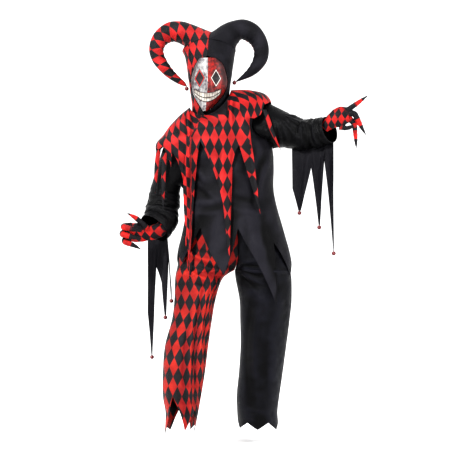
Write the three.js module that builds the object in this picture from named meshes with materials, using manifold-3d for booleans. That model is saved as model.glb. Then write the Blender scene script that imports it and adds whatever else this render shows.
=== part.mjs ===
import * as THREE from 'three';
import Module from 'manifold-3d';

// All sizes in millimetres. X is to the viewer's right, Y away from the viewer, Z up.
// The origin is the centre of the neck at the collar.

// Thicknesses of the cloth and of the mask's shell
const CLOTH = 1.6;
const COLLAR_CLOTH = 1.4;
const GLOVE_CLOTH = 1.6;
const MASK_SHELL = 2.2;

// Gap at the seams, height of the collar above its rings, finest detail of the gloves and
// number of finger sections that are hollow
const SEAM_GAP = 0.36;
const COLLAR_LIFT = 4;
const GLOVE_DETAIL = 0.08;
const HOLLOW_ROWS = 4;

// Fabrics and finishes
const BLACK = { color: 0x1d1c20, roughness: 0.7, metalness: 0 };
const DIAMOND = { color: 0xb02a28, roughness: 0.6, metalness: 0 };
const SHELL = { color: 0xd8d4cc, roughness: 0.45, metalness: 0 };
const BELL = { color: 0xc4262a, roughness: 0.35, metalness: 0.3 };

const DEGREE = Math.PI / 180;

/** Turns rows of numbers into objects with named columns. */
function table(names, rows) {
  return rows.map((row) => Object.fromEntries(names.map((name, k) => [name, row[k]])));
}

// Body rings from the neck down: centre, half width, half depth, roll in the front view,
// how far the front and back hang below the sides, and how square the ring is (1 is oval).
const RING = ['x', 'y', 'z', 'wide', 'deep', 'roll', 'drop', 'box'];
const TUNIC = table(RING, [
  [4, 10, 61, 98, 89, 22, 62, 1],
  [16, 8, 47, 156, 104, 22.4, 48, 1],
  [14, 5, -6, 232, 122, 24, 34, 1],
  [39, 0, -124, 225, 132, 24, 14, 1],
  [87, -2, -239, 225, 134, 24, 0, 1],
  [97, -2, -382, 205, 130, 10, 0, 1],
  [108, -2, -520, 232, 146, 3, 0, 1],
  [113, -2, -667, 267, 166, 0, 0, 1],
  [110, -2, -888, 284, 176, 0, 0, 1],
]);
const COLLAR = table(RING, [
  [7, 8, 81, 104, 97, 22.5, 80, 0.82],
  [23, 8, 58, 177, 116, 20.5, 70, 0.82],
  [28, 6, 8, 251, 134, 21, 50, 0.82],
  [25, 2, -64, 285, 150, 20, 30, 0.82],
  [87, -2, -239, 236, 148, 24, 0, 0.82],
  [97, -2, -382, 216, 142, 10, 0, 0.82],
  [108, -2, -520, 243, 158, 3, 0, 0.82],
  [113, -2, -667, 278, 178, 0, 0, 0.82],
  [110, -2, -888, 295, 200, 0, 0, 0.82],
]);
const HOOD = table(RING, [
  [5, 5, -8, 82, 70, 0, 6, 1],
  [5, 5, 60, 84, 78, 0, 0, 1],
  [4, 0, 124, 92, 98, 0, 0, 1],
  [4, 5, 198, 102, 108, 0, 0, 1],
  [4, 8, 263, 112, 110, 0, -10, 1],
  [0, 10, 301, 123, 102, 0, -42, 1],
]);

// Hems: angle round the body from the wearer's left side through the front, sideways drift
// of the lower end, and height. Notches and points follow each other.
const HEM = ['angle', 'drift', 'z'];
const TUNIC_FRONT_HEM = table(HEM, [
  [0, 0, -650],
  [20, 0, -725],
  [42, 0, -575],
  [46, 0, -860],
  [84, 0, -512],
  [99, 0, -722],
  [130, 0, -508],
  [150, 0, -668],
  [180, 0, -590],
]);
const TUNIC_BACK_HEM = table(HEM, [
  [180, 0, -590],
  [205, 0, -740],
  [226, 0, -560],
  [250, 0, -800],
  [272, 0, -540],
  [296, 0, -820],
  [318, 0, -560],
  [342, 0, -745],
  [360, 0, -650],
]);
const COLLAR_FRONT_HEM = table(HEM, [
  [0, 0, 62],
  [14, 0, 60],
  [28, 0, 44],
  [36, 0, -4],
  [45, 0, -22],
  [51.5, 0, -20],
  [53, 0, -104],
  [55.5, 45, -330],
  [57.5, 70, -452],
  [60.5, 30, -290],
  [64.2, 0, -144],
  [68, 0, -172],
  [71, 0, -225],
  [72.6, 0, -420],
  [74, 0, -662],
  [77, 0, -560],
  [80.5, 0, -408],
  [84.4, 0, -328],
  [90.3, 0, -252],
  [96.2, 0, -185],
  [102.5, 0, -126],
  [105, 0, -180],
  [108.5, 0, -330],
  [111.5, 0, -520],
  [114.2, 0, -762],
  [115.6, 0, -540],
  [117.7, 0, -610],
  [119.8, 0, -330],
  [123.3, 0, -260],
  [128.1, 0, -216],
  [134.6, 0, -171],
  [142, 0, -238],
  [151, 0, -142],
  [160, 0, -158],
  [170, 0, -150],
  [180, 0, -158],
]);
const COLLAR_BACK_HEM = table(HEM, [
  [180, 0, -158],
  [194, 0, -168],
  [210, 0, -128],
  [234, 0, -420],
  [252, 0, -120],
  [272, 0, -560],
  [292, 0, -100],
  [310, 0, -380],
  [328, 0, -14],
  [344, 0, 14],
  [360, 0, 62],
]);

// Armholes: sections of the tunic between which they lie, the step of the sections along
// their edges, and their widest half angle
const ARMHOLE = { top: 2, foot: 4, step: 0.4, bulge: 38 * DEGREE, gap: 1, lift: 0.5 };
const TUNIC_LEVELS = [0, 1, 2, 2.4, 2.8, 3.2, 3.6, 4, 4.8, 5.6];

// Sleeves past the armhole: centre, half width up and down, half depth front to back
const TUBE = ['x', 'y', 'z', 'wide', 'deep'];
const RAISED_SLEEVE = table(TUBE, [
  [349, -20, -64, 80, 82],
  [416, -45, -84, 71, 74],
  [469, -70, -84, 67, 70],
  [512, -92, -77, 64, 66],
  [545, -116, -68, 60, 60],
]);
const LOWERED_SLEEVE = table(TUBE, [
  [-195, 8, -306, 66, 72],
  [-205, 10, -366, 71, 72],
  [-214, -4, -430, 76, 72],
  [-222, -32, -480, 76, 70],
  [-247, -64, -512, 76, 62],
]);

// Trouser legs: height, outer and inner side, how far round the middle the front reaches,
// half depth and centre from front to back
const LEG = ['z', 'outer', 'inner', 'turn', 'deep', 'y'];
const DIAMOND_LEG = table(LEG, [
  [-419, -55, 124, 0, 112, 5],
  [-497, -101, 129, 0, 124, 2],
  [-589, -127, 133, 6, 122, 0],
  [-658, -139, 133, 38, 116, -6],
  [-703, -148, 118, 90, 108, -16],
  [-743, -154, 62, 90, 104, -40],
  [-837, -155, 31, 90, 100, -85],
  [-923, -164, 16, 90, 96, -130],
  [-1029, -191, 1, 90, 98, -190],
  [-1133, -197, -11, 90, 104, -250],
  [-1234, -194, -27, 90, 110, -305],
  [-1302, -181, -39, 90, 112, -340],
  [-1386, -181, -55, 90, 114, -375],
]);
const BLACK_LEG = table(LEG, [
  [-419, 276, 124, 0, 112, 5],
  [-497, 322, 129, 0, 124, 2],
  [-589, 352, 133, 6, 122, 0],
  [-658, 364, 133, 38, 116, -6],
  [-703, 372, 118, 90, 111.1, -16],
  [-745, 379, 122, 90, 108, -12],
  [-842, 380, 140, 90, 112, 0],
  [-935, 371, 143, 90, 110, 10],
  [-1051, 357, 145, 90, 106, 20],
  [-1168, 342, 138, 90, 104, 30],
  [-1285, 326, 127, 90, 106, 40],
  [-1364, 317, 129, 90, 110, 45],
  [-1434, 324, 134, 90, 112, 45],
]);

const CROTCH_ROW = 4;

// Trouser hems: place from the outer seam to the inner one, and height above the last ring
const NOTCH = ['share', 'rise'];
const DIAMOND_FRONT_HEM = table(NOTCH, [
  [0, 30],
  [0.12, 0],
  [0.36, 160],
  [0.62, 24],
  [0.8, 110],
  [0.93, 0],
  [1, 60],
]);
const DIAMOND_BACK_HEM = table(NOTCH, [
  [0, 30],
  [0.25, 0],
  [0.5, 110],
  [0.75, 0],
  [1, 60],
]);
const BLACK_FRONT_HEM = table(NOTCH, [
  [0, 40],
  [0.18, 0],
  [0.34, 36],
  [0.52, 6],
  [0.68, 36],
  [0.86, 4],
  [1, 44],
]);

// Horns: centre line of the section, half width across the curl and half depth
const HORN_LEFT = table(TUBE, [
  [-96, 8, 376, 53, 74],
  [-138, 4, 391, 49, 54],
  [-174, 2, 391, 46, 45],
  [-203, 0, 376, 42, 42],
  [-230, -2, 348, 37, 37],
  [-242, -4, 310, 34, 34],
  [-234, -6, 273, 32, 32],
  [-212, -8, 236, 28, 29],
  [-182, -10, 201, 23, 24],
  [-145, -11, 170, 17, 18],
  [-116, -12, 150, 11, 12],
  [-103, -12, 140, 4, 5],
]);
const HORN_RIGHT = table(TUBE, [
  [92, 8, 374, 58, 76],
  [124, 4, 396, 48, 54],
  [157, 0, 402, 46, 46],
  [193, -2, 387, 45, 45],
  [223, -4, 355, 40, 40],
  [240, -6, 313, 36, 36],
  [237, -7, 270, 34, 34],
  [218, -9, 233, 28, 28],
  [191, -10, 204, 21, 21],
  [156, -11, 180, 12, 13],
  [125, -12, 161, 4, 5],
]);
const HORN_NOTCH = { x: 14, y: 10, z: 391 };
const HORN_ARC = 7;
const HORN_SADDLE = 0.62;

// Mask: height, centre, half width, front and edge
const FACE = ['z', 'x', 'half', 'front', 'edge'];
const MASK = table(FACE, [
  [255, -4, 36, -120, -108],
  [232, 2, 60, -124, -88],
  [201, 2, 74, -128, -68],
  [160, 2, 83, -128, -52],
  [129, 1.5, 79, -126, -52],
  [93, -2, 67, -125, -58],
  [61, -6.5, 46, -121, -72],
  [34, -12, 24, -116, -84],
  [16, -17, 9, -108, -92],
]);
const FACE_GAP = 3;
const FACE_TOP = 264;
const FACE_FOOT = 4;
const NOSE = { x: -3, z: 130, high: 14, wide: 13, tall: 26 };
const EYES = table(['x', 'z', 'half', 'tall', 'slant'], [
  [-38, 163, 22, 13, -0.22],
  [38, 163, 22, 13, 0.22],
]);

// Hanging tails of the sleeves: place along the line they hang from, sideways shift and
// height of the lower end. Notches and points follow each other.
const TAIL = ['share', 'shift', 'z'];
const RAISED_TAILS = table(TAIL, [
  [0, 0, -330],
  [0.11, 0, -432],
  [0.32, 2, -236],
  [0.53, 2, -498],
  [0.7, -4, -208],
  [0.97, 6, -615],
  [1, 4, -560],
]);
const LOWERED_TAILS = table(TAIL, [
  [0, -2, -900],
  [0.16, 4, -1092],
  [0.36, 0, -690],
  [0.56, 4, -760],
  [0.72, 8, -908],
  [0.84, 12, -640],
  [0.96, 20, -832],
  [1, 20, -790],
]);
// Where the tails hang: section of the sleeve and place round it, from the first to the last,
// size and count of their folds, and their gap below the sleeve
const LINE = ['from', 'to', 'turnFrom', 'turnTo', 'size', 'count', 'drop'];
const [RAISED_TAIL_LINE, LOWERED_TAIL_LINE] = table(LINE, [
  [1.75, 4.95, 0.5, 0.5, 7, 17, 1.6],
  [5, 5, 0.77, 0.48, 5, 15, 1.1],
]);

// Loose collar points on the shoulders: path and half width
const STRIP = ['x', 'y', 'z', 'half'];
const COLLAR_POINTS = [
  table(STRIP, [
    [251.6, -91, 24.6, 9],
    [268, -104, -20, 10],
    [284, -111, -70, 9],
    [304, -113, -118, 6],
    [325, -110, -158, 1],
  ]),
  table(STRIP, [
    [-228, -62, -154, 10],
    [-236, -72, -225, 10],
    [-240, -74, -290, 7],
    [-243, -76, -352, 1],
  ]),
  table(STRIP, [
    [-198.6, -93.7, -170.6, 11],
    [-203, -97, -240, 10],
    [-204, -97, -310, 9],
    [-205, -99, -370, 6],
    [-204, -106, -424, 1],
  ]),
];

// Gloves: centre of each section and its radii across and through the hand
const LIMB = ['x', 'y', 'z', 'wide', 'deep'];
const OPEN_HAND = {
  palm: table(LIMB, [
    [515.6, -109.2, -61.5, 26, 24],
    [541.2, -119.1, -41.5, 29, 27],
    [572, -130, -21, 41, 25],
    [600, -136, -9, 44, 21],
    [626, -136, -5, 34, 17],
  ]),
  fingers: [
    table(LIMB, [
      [606, -134, 4, 15, 13],
      [632, -134, 24, 12, 11],
      [664, -136, 46, 10.5, 10],
      [694, -138, 68, 6, 6],
      [714, -140, 82, 1, 1],
    ]),
    table(LIMB, [
      [616, -138, -4, 14, 13],
      [650, -140, 2, 13, 12],
      [668, -142, -26, 12, 11],
      [686, -142, -62, 8, 8],
      [706, -142, -96, 1, 1],
    ]),
    table(LIMB, [
      [630, -132, -20, 14, 12],
      [652, -132, -44, 12, 11],
      [658, -132, -84, 10, 9],
      [661, -132, -122, 7, 7],
      [663, -132, -156, 1, 1],
    ]),
    table(LIMB, [
      [586, -140, -58, 13, 12],
      [616, -142, -64, 10, 10],
      [640, -143, -58, 8, 8],
      [660, -143, -50, 5, 5],
      [672, -143, -44, 1, 1],
    ]),
  ],
};
const CLOSED_HAND = {
  palm: table(LIMB, [
    [-203, -50.6, -494.4, 28, 27],
    [-224.4, -91.6, -521.3, 33, 31],
    [-276, -122, -534, 35, 24],
    [-316, -138, -532, 44, 21],
    [-346, -144, -530, 42, 17],
  ]),
  fingers: [
    table(LIMB, [
      [-342, -145, -502, 16, 14],
      [-372, -164, -504, 15, 14],
      [-372, -194, -508, 14, 13],
      [-342, -206, -514, 12, 11],
      [-312, -198, -522, 7, 7],
      [-292, -192, -528, 1, 1],
    ]),
    table(LIMB, [
      [-350, -146, -530, 16, 14],
      [-378, -164, -534, 15, 14],
      [-376, -196, -540, 14, 13],
      [-344, -208, -548, 12, 11],
      [-312, -200, -556, 7, 7],
      [-290, -194, -561, 1, 1],
    ]),
    table(LIMB, [
      [-340, -145, -557, 15, 14],
      [-370, -164, -564, 14, 13],
      [-366, -194, -574, 13, 12],
      [-338, -204, -584, 11, 10],
      [-314, -196, -596, 6, 6],
      [-298, -190, -606, 1, 1],
    ]),
    table(LIMB, [
      [-276, -146, -512, 15, 13],
      [-298, -164, -488, 13, 12],
      [-320, -172, -468, 11, 10],
      [-340, -174, -456, 7, 7],
      [-362, -174, -444, 1, 1],
    ]),
  ],
};

// Bells at the horns' tips, and at the tips of the tails, which are named by their share
const BELL_RADIUS = 9.5;
const BELL_GAP = 0.6;
const HORN_BELLS = table(['x', 'y', 'z'], [
  [-102.2, -12, 128.6],
  [116.9, -12.3, 156],
]);
const RAISED_TIPS = [0.11, 0.53, 0.97];
const LOWERED_TIPS = [0.16, 0.72, 0.96];

/** Smooth values between the rows of a table, at row number s, with a corner at one row. */
function between(rows, s, corner = -1) {
  const last = rows.length - 1;
  const place = Math.min(Math.max(s, 0), last);
  const i = Math.min(Math.floor(place), last - 1);
  const f = place - i;
  const row = (k) => rows[Math.min(Math.max(k, 0), last)];
  const [b, c] = [row(i), row(i + 1)];
  const a = i === corner ? b : row(i - 1);
  const d = i + 1 === corner ? c : row(i + 2);
  const out = {};
  for (const name of Object.keys(b)) {
    const curve = 2 * a[name] - 5 * b[name] + 4 * c[name] - d[name];
    const bend = 3 * b[name] - a[name] - 3 * c[name] + d[name];
    out[name] = 0.5 * (2 * b[name] + (c[name] - a[name]) * f + curve * f * f + bend * f * f * f);
  }
  return out;
}

/** Straight values between the rows of a table, by the value of its first column. */
function straight(rows, key, value) {
  const last = rows.length - 1;
  let i = 0;
  while (i < last - 1 && value > rows[i + 1][key]) i += 1;
  const share = (value - rows[i][key]) / (rows[i + 1][key] - rows[i][key]);
  const f = Math.min(Math.max(share, 0), 1);
  const out = {};
  for (const name of Object.keys(rows[0])) out[name] = rows[i][name] * (1 - f) + rows[i + 1][name] * f;
  return out;
}

function vector(x, y, z) {
  return new THREE.Vector3(x, y, z);
}

function mix(a, b, f) {
  return a.clone().lerp(b, f);
}

/** Point on a body ring at an angle, at row number s. */
function ringPoint(rows, angle, s) {
  const ring = between(rows, s);
  const roll = ring.roll * DEGREE;
  const reach = ring.wide * Math.cos(angle);
  const lean = Math.pow(Math.abs(Math.sin(angle)), 1.5);
  return vector(
    ring.x + reach * Math.cos(roll),
    ring.y - ring.deep * Math.sign(Math.sin(angle)) * Math.pow(Math.abs(Math.sin(angle)), ring.box),
    ring.z + reach * Math.sin(roll) - ring.drop * lean,
  );
}

/** Row number at which the ring point has the given height, its angle given for each row. */
function rowAtHeight(rows, angleAt, z) {
  let low = 0;
  let high = rows.length - 1;
  const falling = ringPoint(rows, angleAt(low), low).z > ringPoint(rows, angleAt(high), high).z;
  for (let step = 0; step < 24; step += 1) {
    const middle = (low + high) / 2;
    const above = ringPoint(rows, angleAt(middle), middle).z > z;
    if (above === falling) low = middle;
    else high = middle;
  }
  return (low + high) / 2;
}

/**
 * A cloth wall: outer points on a grid, inner points moved in by the thickness, and a rim
 * on each open edge. The grid may close on itself across its columns.
 */
function wall(columns, rows, pointAt, options) {
  const { thick, outward = 1, closed = false, seamed = false, startNormal = null } = options;
  const across = closed ? columns : columns + 1;
  const points = [];
  for (let i = 0; i < across; i += 1) {
    for (let j = 0; j <= rows; j += 1) points.push(pointAt(i / columns, j / rows, i, j));
  }
  const id = (i, j) => (closed ? (i + columns) % columns : i) * (rows + 1) + j;
  const inner = [];
  for (let i = 0; i < across; i += 1) {
    for (let j = 0; j <= rows; j += 1) {
      const left = closed ? i - 1 : Math.max(i - 1, 0);
      const right = closed ? i + 1 : Math.min(i + 1, columns);
      const du = points[id(right, j)].clone().sub(points[id(left, j)]);
      const dv = points[id(i, Math.min(j + 1, rows))].clone().sub(points[id(i, Math.max(j - 1, 0))]);
      const normal = du.cross(dv).multiplyScalar(outward);
      normal.normalize();
      if (seamed && (i === 0 || i === columns)) squareToSeam(normal);
      const set = startNormal && j === 0 ? startNormal(i / columns) : normal;
      inner.push(points[id(i, j)].clone().addScaledVector(set, -thick));
    }
  }
  const count = points.length;
  const faces = [];
  const quad = (a, b, c, d) => {
    if (outward > 0) faces.push(a, b, c, a, c, d);
    else faces.push(a, c, b, a, d, c);
  };
  for (let i = 0; i < columns; i += 1) {
    for (let j = 0; j < rows; j += 1) {
      const [a, b, c, d] = [id(i, j), id(i + 1, j), id(i + 1, j + 1), id(i, j + 1)];
      quad(a, b, c, d);
      quad(count + a, count + d, count + c, count + b);
    }
    const [a, b] = [id(i, 0), id(i + 1, 0)];
    quad(b, a, count + a, count + b);
    const [c, d] = [id(i, rows), id(i + 1, rows)];
    quad(c, d, count + d, count + c);
  }
  if (!closed) {
    for (let j = 0; j < rows; j += 1) {
      const [a, b] = [id(0, j), id(0, j + 1)];
      quad(a, b, count + b, count + a);
      const [c, d] = [id(columns, j), id(columns, j + 1)];
      quad(d, c, count + c, count + d);
    }
  }
  return solid([...points, ...inner], faces);
}

/** A geometry from points and the corner numbers of its triangles. */
function solid(points, faces) {
  const geometry = new THREE.BufferGeometry();
  const places = points.flatMap((point) => [point.x, point.y, point.z]);
  geometry.setAttribute('position', new THREE.Float32BufferAttribute(places, 3));
  geometry.setIndex(faces);
  geometry.computeVertexNormals();
  return geometry;
}

/** Turns an edge's normal square to its seam plane, where it already lies near it. */
function squareToSeam(normal) {
  const near = 0.4;
  if (Math.abs(normal.y) < near) normal.y = 0;
  else if (Math.abs(normal.x) < near) normal.x = 0;
  normal.normalize();
}

/** Places of the columns of a panel, so that each notch and point has its own column. */
function columnPlaces(rows, key, perSpan) {
  const places = [rows[0][key]];
  for (let k = 1; k < rows.length; k += 1) {
    for (let n = 1; n <= perSpan; n += 1) {
      places.push(rows[k - 1][key] + ((rows[k][key] - rows[k - 1][key]) * n) / perSpan);
    }
  }
  return places;
}

const group = new THREE.Group();
group.name = 'jester_costume';

function add(name, geometry, finish, shift = [0, 0, 0]) {
  geometry.translate(...shift);
  const mesh = new THREE.Mesh(geometry, new THREE.MeshStandardMaterial(finish));
  mesh.name = name;
  group.add(mesh);
}

// Tunic and collar panels

/** Half angle of the armhole at row number s. */
function armhole(s) {
  const share = (s - ARMHOLE.top) / (ARMHOLE.foot - ARMHOLE.top);
  if (share <= 0 || share >= 1) return 0;
  return ARMHOLE.bulge * Math.pow(Math.sin(Math.PI * share), 0.8);
}

/**
 * Angle of a hanging column at row number s: at the front it hangs plumb below its place
 * on the yoke, and at the sides it keeps its angle.
 */
function hangingAngle(rings, angle, yoke, s, drift) {
  const square = (ring) => ring.wide * Math.cos(ring.roll * DEGREE);
  const start = between(rings, yoke);
  const ring = between(rings, s);
  const x = start.x + square(start) * Math.cos(angle) + drift;
  const share = Math.min(Math.max((x - ring.x) / square(ring), -0.98), 0.98);
  const plumb = angle > Math.PI ? 2 * Math.PI - Math.acos(share) : Math.acos(share);
  const weight = Math.min(Math.max((Math.abs(Math.sin(angle)) - 0.35) / 0.35, 0), 1);
  return angle + (plumb - angle) * weight;
}

/** A panel of the body that hangs from the neck to a pointed hem. */
function bodyPanel(rings, hem, shape) {
  const places = columnPlaces(hem, 'angle', shape.perSpan);
  const from = hem[0].angle * DEGREE;
  const to = hem[hem.length - 1].angle * DEGREE;
  const middle = (from + to) / 2;
  const upper = shape.rows - shape.lowerRows;
  const pointAt = (u, v, i, j) => {
    const angle = places[i] * DEGREE;
    const edge = straight(hem, 'angle', places[i]);
    const yoke = shape.yoke(angle);
    const angleAt = (s, f) => (shape.plumb ? hangingAngle(rings, angle, yoke, s, edge.drift * f) : angle);
    let s;
    let turned = angle;
    if (j <= upper) {
      s = shape.levels ? shape.levels[j] : (yoke * j) / upper;
    } else {
      const f = (j - upper) / shape.lowerRows;
      s = yoke + (rowAtHeight(rings, (level) => angleAt(level, 1), edge.z) - yoke) * f;
      turned = angleAt(s, f);
    }
    if (shape.armholes) {
      const cut = armhole(s);
      const share = Math.abs(turned - middle) / (Math.abs(to - from) / 2);
      const side = turned > middle ? -1 : 1;
      turned += side * cut * Math.pow(share, 2);
    }
    const point = ringPoint(rings, turned, s);
    return shape.fold ? shape.fold(point, turned, s) : point;
  };
  return wall(places.length - 1, shape.rows, pointAt, { thick: shape.thick, seamed: true });
}

/** Moves a point away from the body's middle by soft upright folds that grow downward. */
function bodyFold(count, size, start) {
  return (point, angle, s) => {
    const grow = Math.min(Math.max((s - start) / 3, 0), 1);
    const fade = Math.abs(Math.sin(angle));
    const depth = size * grow * fade * Math.sin(count * angle + 0.7 * s);
    return point.add(vector(Math.cos(angle), -Math.sin(angle), 0).multiplyScalar(depth));
  };
}

const tunicShape = {
  perSpan: 2,
  rows: 13,
  lowerRows: 4,
  yoke: () => 5.6,
  levels: TUNIC_LEVELS,
  armholes: true,
  thick: CLOTH,
  fold: bodyFold(9, 4, 4.5),
};
add('tunic_front', bodyPanel(TUNIC, TUNIC_FRONT_HEM, tunicShape), BLACK, [0, -SEAM_GAP / 2, 0]);
add('tunic_back', bodyPanel(TUNIC, TUNIC_BACK_HEM, tunicShape), BLACK, [0, SEAM_GAP / 2, 0]);

const collarShape = {
  perSpan: 1,
  plumb: true,
  rows: 9,
  lowerRows: 5,
  yoke: (angle) => 1.9 + 0.9 * Math.abs(Math.sin(angle)),
  armholes: false,
  thick: COLLAR_CLOTH,
};
const collarBackShape = { ...collarShape, perSpan: 2, plumb: false };
const collarFront = bodyPanel(COLLAR, COLLAR_FRONT_HEM, collarShape);
const collarBack = bodyPanel(COLLAR, COLLAR_BACK_HEM, collarBackShape);
add('collar_front', collarFront, DIAMOND, [0, -SEAM_GAP / 2, COLLAR_LIFT]);
add('collar_back', collarBack, DIAMOND, [0, SEAM_GAP / 2, COLLAR_LIFT]);

/** A narrow hanging point along a path, with a slightly rounded front. */
function strip(path) {
  const pointAt = (u, v) => {
    const row = between(path, v * (path.length - 1));
    const across = 2 * u - 1;
    return vector(row.x + row.half * across, row.y + 2 * across * across, row.z);
  };
  return wall(4, 8, pointAt, { thick: COLLAR_CLOTH, outward: -1 });
}
COLLAR_POINTS.forEach((path, k) => add(`collar_point_${k + 1}`, strip(path), DIAMOND));

// Sleeves

/** Frame of a sleeve section: centre, upward and forward directions. */
function sleeveFrame(rows, s, side) {
  const row = between(rows, s);
  const step = 0.25;
  const ahead = between(rows, s + step);
  const behind = between(rows, s - step);
  const along = vector(ahead.x - behind.x, ahead.y - behind.y, ahead.z - behind.z).normalize();
  const up = vector(-along.z, 0, along.x).multiplyScalar(side).normalize();
  const front = along.clone().cross(up).multiplyScalar(side);
  return { row, along, up, front };
}

/** Point on the armhole's edge, which runs straight between the tunic's sections. */
function armholeEdge(side, turn) {
  const share = 1 - Math.abs(2 * turn - 1);
  const place = ((ARMHOLE.foot - ARMHOLE.top) * share) / ARMHOLE.step;
  const face = turn < 0.5 ? 1 : -1;
  const at = (k) => {
    const level = ARMHOLE.top + k * ARMHOLE.step;
    const cut = armhole(level) * face;
    return ringPoint(TUNIC, side > 0 ? cut : Math.PI - cut, level);
  };
  const k = Math.floor(place + 1e-6);
  return mix(at(k), at(k + 1), place - k);
}

/** The tunic's outward direction at the armhole's edge, and the direction into the hole. */
function armholeFrame(side, turn) {
  const share = 1 - Math.abs(2 * turn - 1);
  const level = ARMHOLE.top + (ARMHOLE.foot - ARMHOLE.top) * share;
  const face = turn < 0.5 ? 1 : -1;
  const cut = armhole(level) * face;
  const angle = side > 0 ? cut : Math.PI - cut;
  const step = 0.02;
  const round = ringPoint(TUNIC, angle + step, level).sub(ringPoint(TUNIC, angle - step, level)).normalize();
  const down = ringPoint(TUNIC, angle, level + step).sub(ringPoint(TUNIC, angle, level - step)).normalize();
  const normal = round.clone().cross(down).normalize();
  const inward = round.multiplyScalar(-side * face * Math.sin(Math.PI * share));
  inward.addScaledVector(down, Math.cos(Math.PI * share)).normalize();
  return { normal, inward };
}

/** Point on a sleeve: row 0 is the armhole's edge and each later row a section. */
function sleevePoint(rows, side, turn, s) {
  const angle = turn * 2 * Math.PI;
  const section = (k) => {
    const { row, up, front } = sleeveFrame(rows, k, side);
    return vector(row.x, row.y, row.z)
      .addScaledVector(up, row.wide * Math.cos(angle))
      .addScaledVector(front, row.deep * Math.sin(angle));
  };
  if (s >= 1) return section(s - 1);
  const start = armholeEdge(side, turn);
  const first = section(0);
  const { normal, inward } = armholeFrame(side, turn);
  start.addScaledVector(inward, ARMHOLE.gap).addScaledVector(normal, ARMHOLE.lift);
  return mix(start, first, s);
}

function sleeve(rows, side, columns, lengths, fold) {
  const pointAt = (u, v) => {
    const s = v * rows.length;
    const point = sleevePoint(rows, side, u, s);
    return fold(point, u, s);
  };
  const startNormal = (turn) => armholeFrame(side, turn).normal;
  return wall(columns, lengths, pointAt, { thick: CLOTH, outward: side, closed: true, startNormal });
}

function raisedFold(point, u, s) {
  const grow = Math.sin(Math.PI * Math.min(Math.max((s - 0.8) / 4.2, 0), 1));
  const depth = 3.5 * grow * Math.sin(5.2 * s + 5 * u);
  return point.add(vector(0, -Math.sin(2 * Math.PI * u), Math.cos(2 * Math.PI * u)).multiplyScalar(depth));
}

function loweredFold(point, u, s) {
  const grow = Math.sin(Math.PI * Math.min(Math.max((s - 0.8) / 4.2, 0), 1));
  const depth = 3 * grow * Math.sin(4.4 * s - 4 * u);
  return point.add(vector(-Math.cos(2 * Math.PI * u), -Math.sin(2 * Math.PI * u), 0).multiplyScalar(depth));
}

add('sleeve_raised', sleeve(RAISED_SLEEVE, 1, 20, 12, raisedFold), BLACK);
add('sleeve_lowered', sleeve(LOWERED_SLEEVE, -1, 20, 12, loweredFold), BLACK);

/** Point on a sleeve's tails: share along the line they hang from, and v down. */
function tailPoint(rows, side, fold, foot, line, share, v) {
  const s = line.from + (line.to - line.from) * share;
  const turn = line.turnFrom + (line.turnTo - line.turnFrom) * share;
  const top = fold(sleevePoint(rows, side, turn, s), turn, s);
  top.z -= line.drop;
  const end = straight(foot, 'share', share);
  const swing = line.size * Math.min(v * 2.5, 1) * Math.sin(line.count * share + 1.2 * v);
  return vector(top.x + end.shift * v + 0.35 * swing, top.y + swing, top.z + (end.z - top.z) * v);
}

function tails(rows, side, fold, foot, line) {
  const places = columnPlaces(foot, 'share', 2);
  const pointAt = (u, v, i) => tailPoint(rows, side, fold, foot, line, places[i], v);
  return wall(places.length - 1, 9, pointAt, { thick: CLOTH, outward: -1 });
}
add('tails_raised', tails(RAISED_SLEEVE, 1, raisedFold, RAISED_TAILS, RAISED_TAIL_LINE), BLACK);
add('tails_lowered', tails(LOWERED_SLEEVE, -1, loweredFold, LOWERED_TAILS, LOWERED_TAIL_LINE), BLACK);

// Trousers

/** Point on a leg: share 0 is the outer seam and 1 the inner one. */
function legPoint(rows, share, s, face) {
  const row = between(rows, s, CROTCH_ROW);
  const turn = Math.min(Math.max(row.turn, 0), 90) * DEGREE;
  const half = (row.inner - row.outer) / (1 + Math.sin(turn));
  const middle = row.outer + half;
  const angle = Math.PI / 2 - share * (Math.PI / 2 + turn);
  return vector(middle - half * Math.sin(angle), row.y - face * row.deep * Math.cos(angle), row.z);
}

function legFold(point, share, s, face, size) {
  const fade = Math.sin(Math.PI * share);
  const upright = Math.sin(11 * share + 0.5 * s) * Math.min(Math.max((s - 4) / 4, 0), 1);
  const drag = Math.sin(3 * s + 4 * share) * Math.exp(-Math.pow((s - 4.6) / 1.4, 2));
  point.y -= face * size * fade * (upright + 0.8 * drag);
  return point;
}

function legPanel(rows, hem, face, side) {
  const places = columnPlaces(hem, 'share', 2);
  const last = rows.length - 1;
  const count = 14;
  const pointAt = (u, v, i) => {
    const share = places[i];
    const rise = straight(hem, 'share', share).rise;
    const foot = rows[last].z + rise;
    const shape = Math.pow(v, 0.95);
    const s = shape * legRow(rows, foot);
    const point = legPoint(rows, share, s, face);
    return legFold(point, share, s, face, 5);
  };
  return wall(places.length - 1, count, pointAt, { thick: CLOTH, outward: side * face, seamed: true });
}

/** Row number of a leg's table at a height. */
function legRow(rows, z) {
  let low = 0;
  let high = rows.length - 1;
  for (let step = 0; step < 24; step += 1) {
    const middle = (low + high) / 2;
    if (between(rows, middle, CROTCH_ROW).z > z) low = middle;
    else high = middle;
  }
  return low;
}

const half = SEAM_GAP / 2;
add('leg_diamond_front', legPanel(DIAMOND_LEG, DIAMOND_FRONT_HEM, 1, -1), DIAMOND, [-half, -half, 0]);
add('leg_diamond_back', legPanel(DIAMOND_LEG, DIAMOND_BACK_HEM, -1, -1), DIAMOND, [-half, half, 0]);
add('leg_black_front', legPanel(BLACK_LEG, BLACK_FRONT_HEM, 1, 1), BLACK, [half, -half, 0]);
add('leg_black_back', legPanel(BLACK_LEG, BLACK_FRONT_HEM, -1, 1), BLACK, [half, half, 0]);

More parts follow.
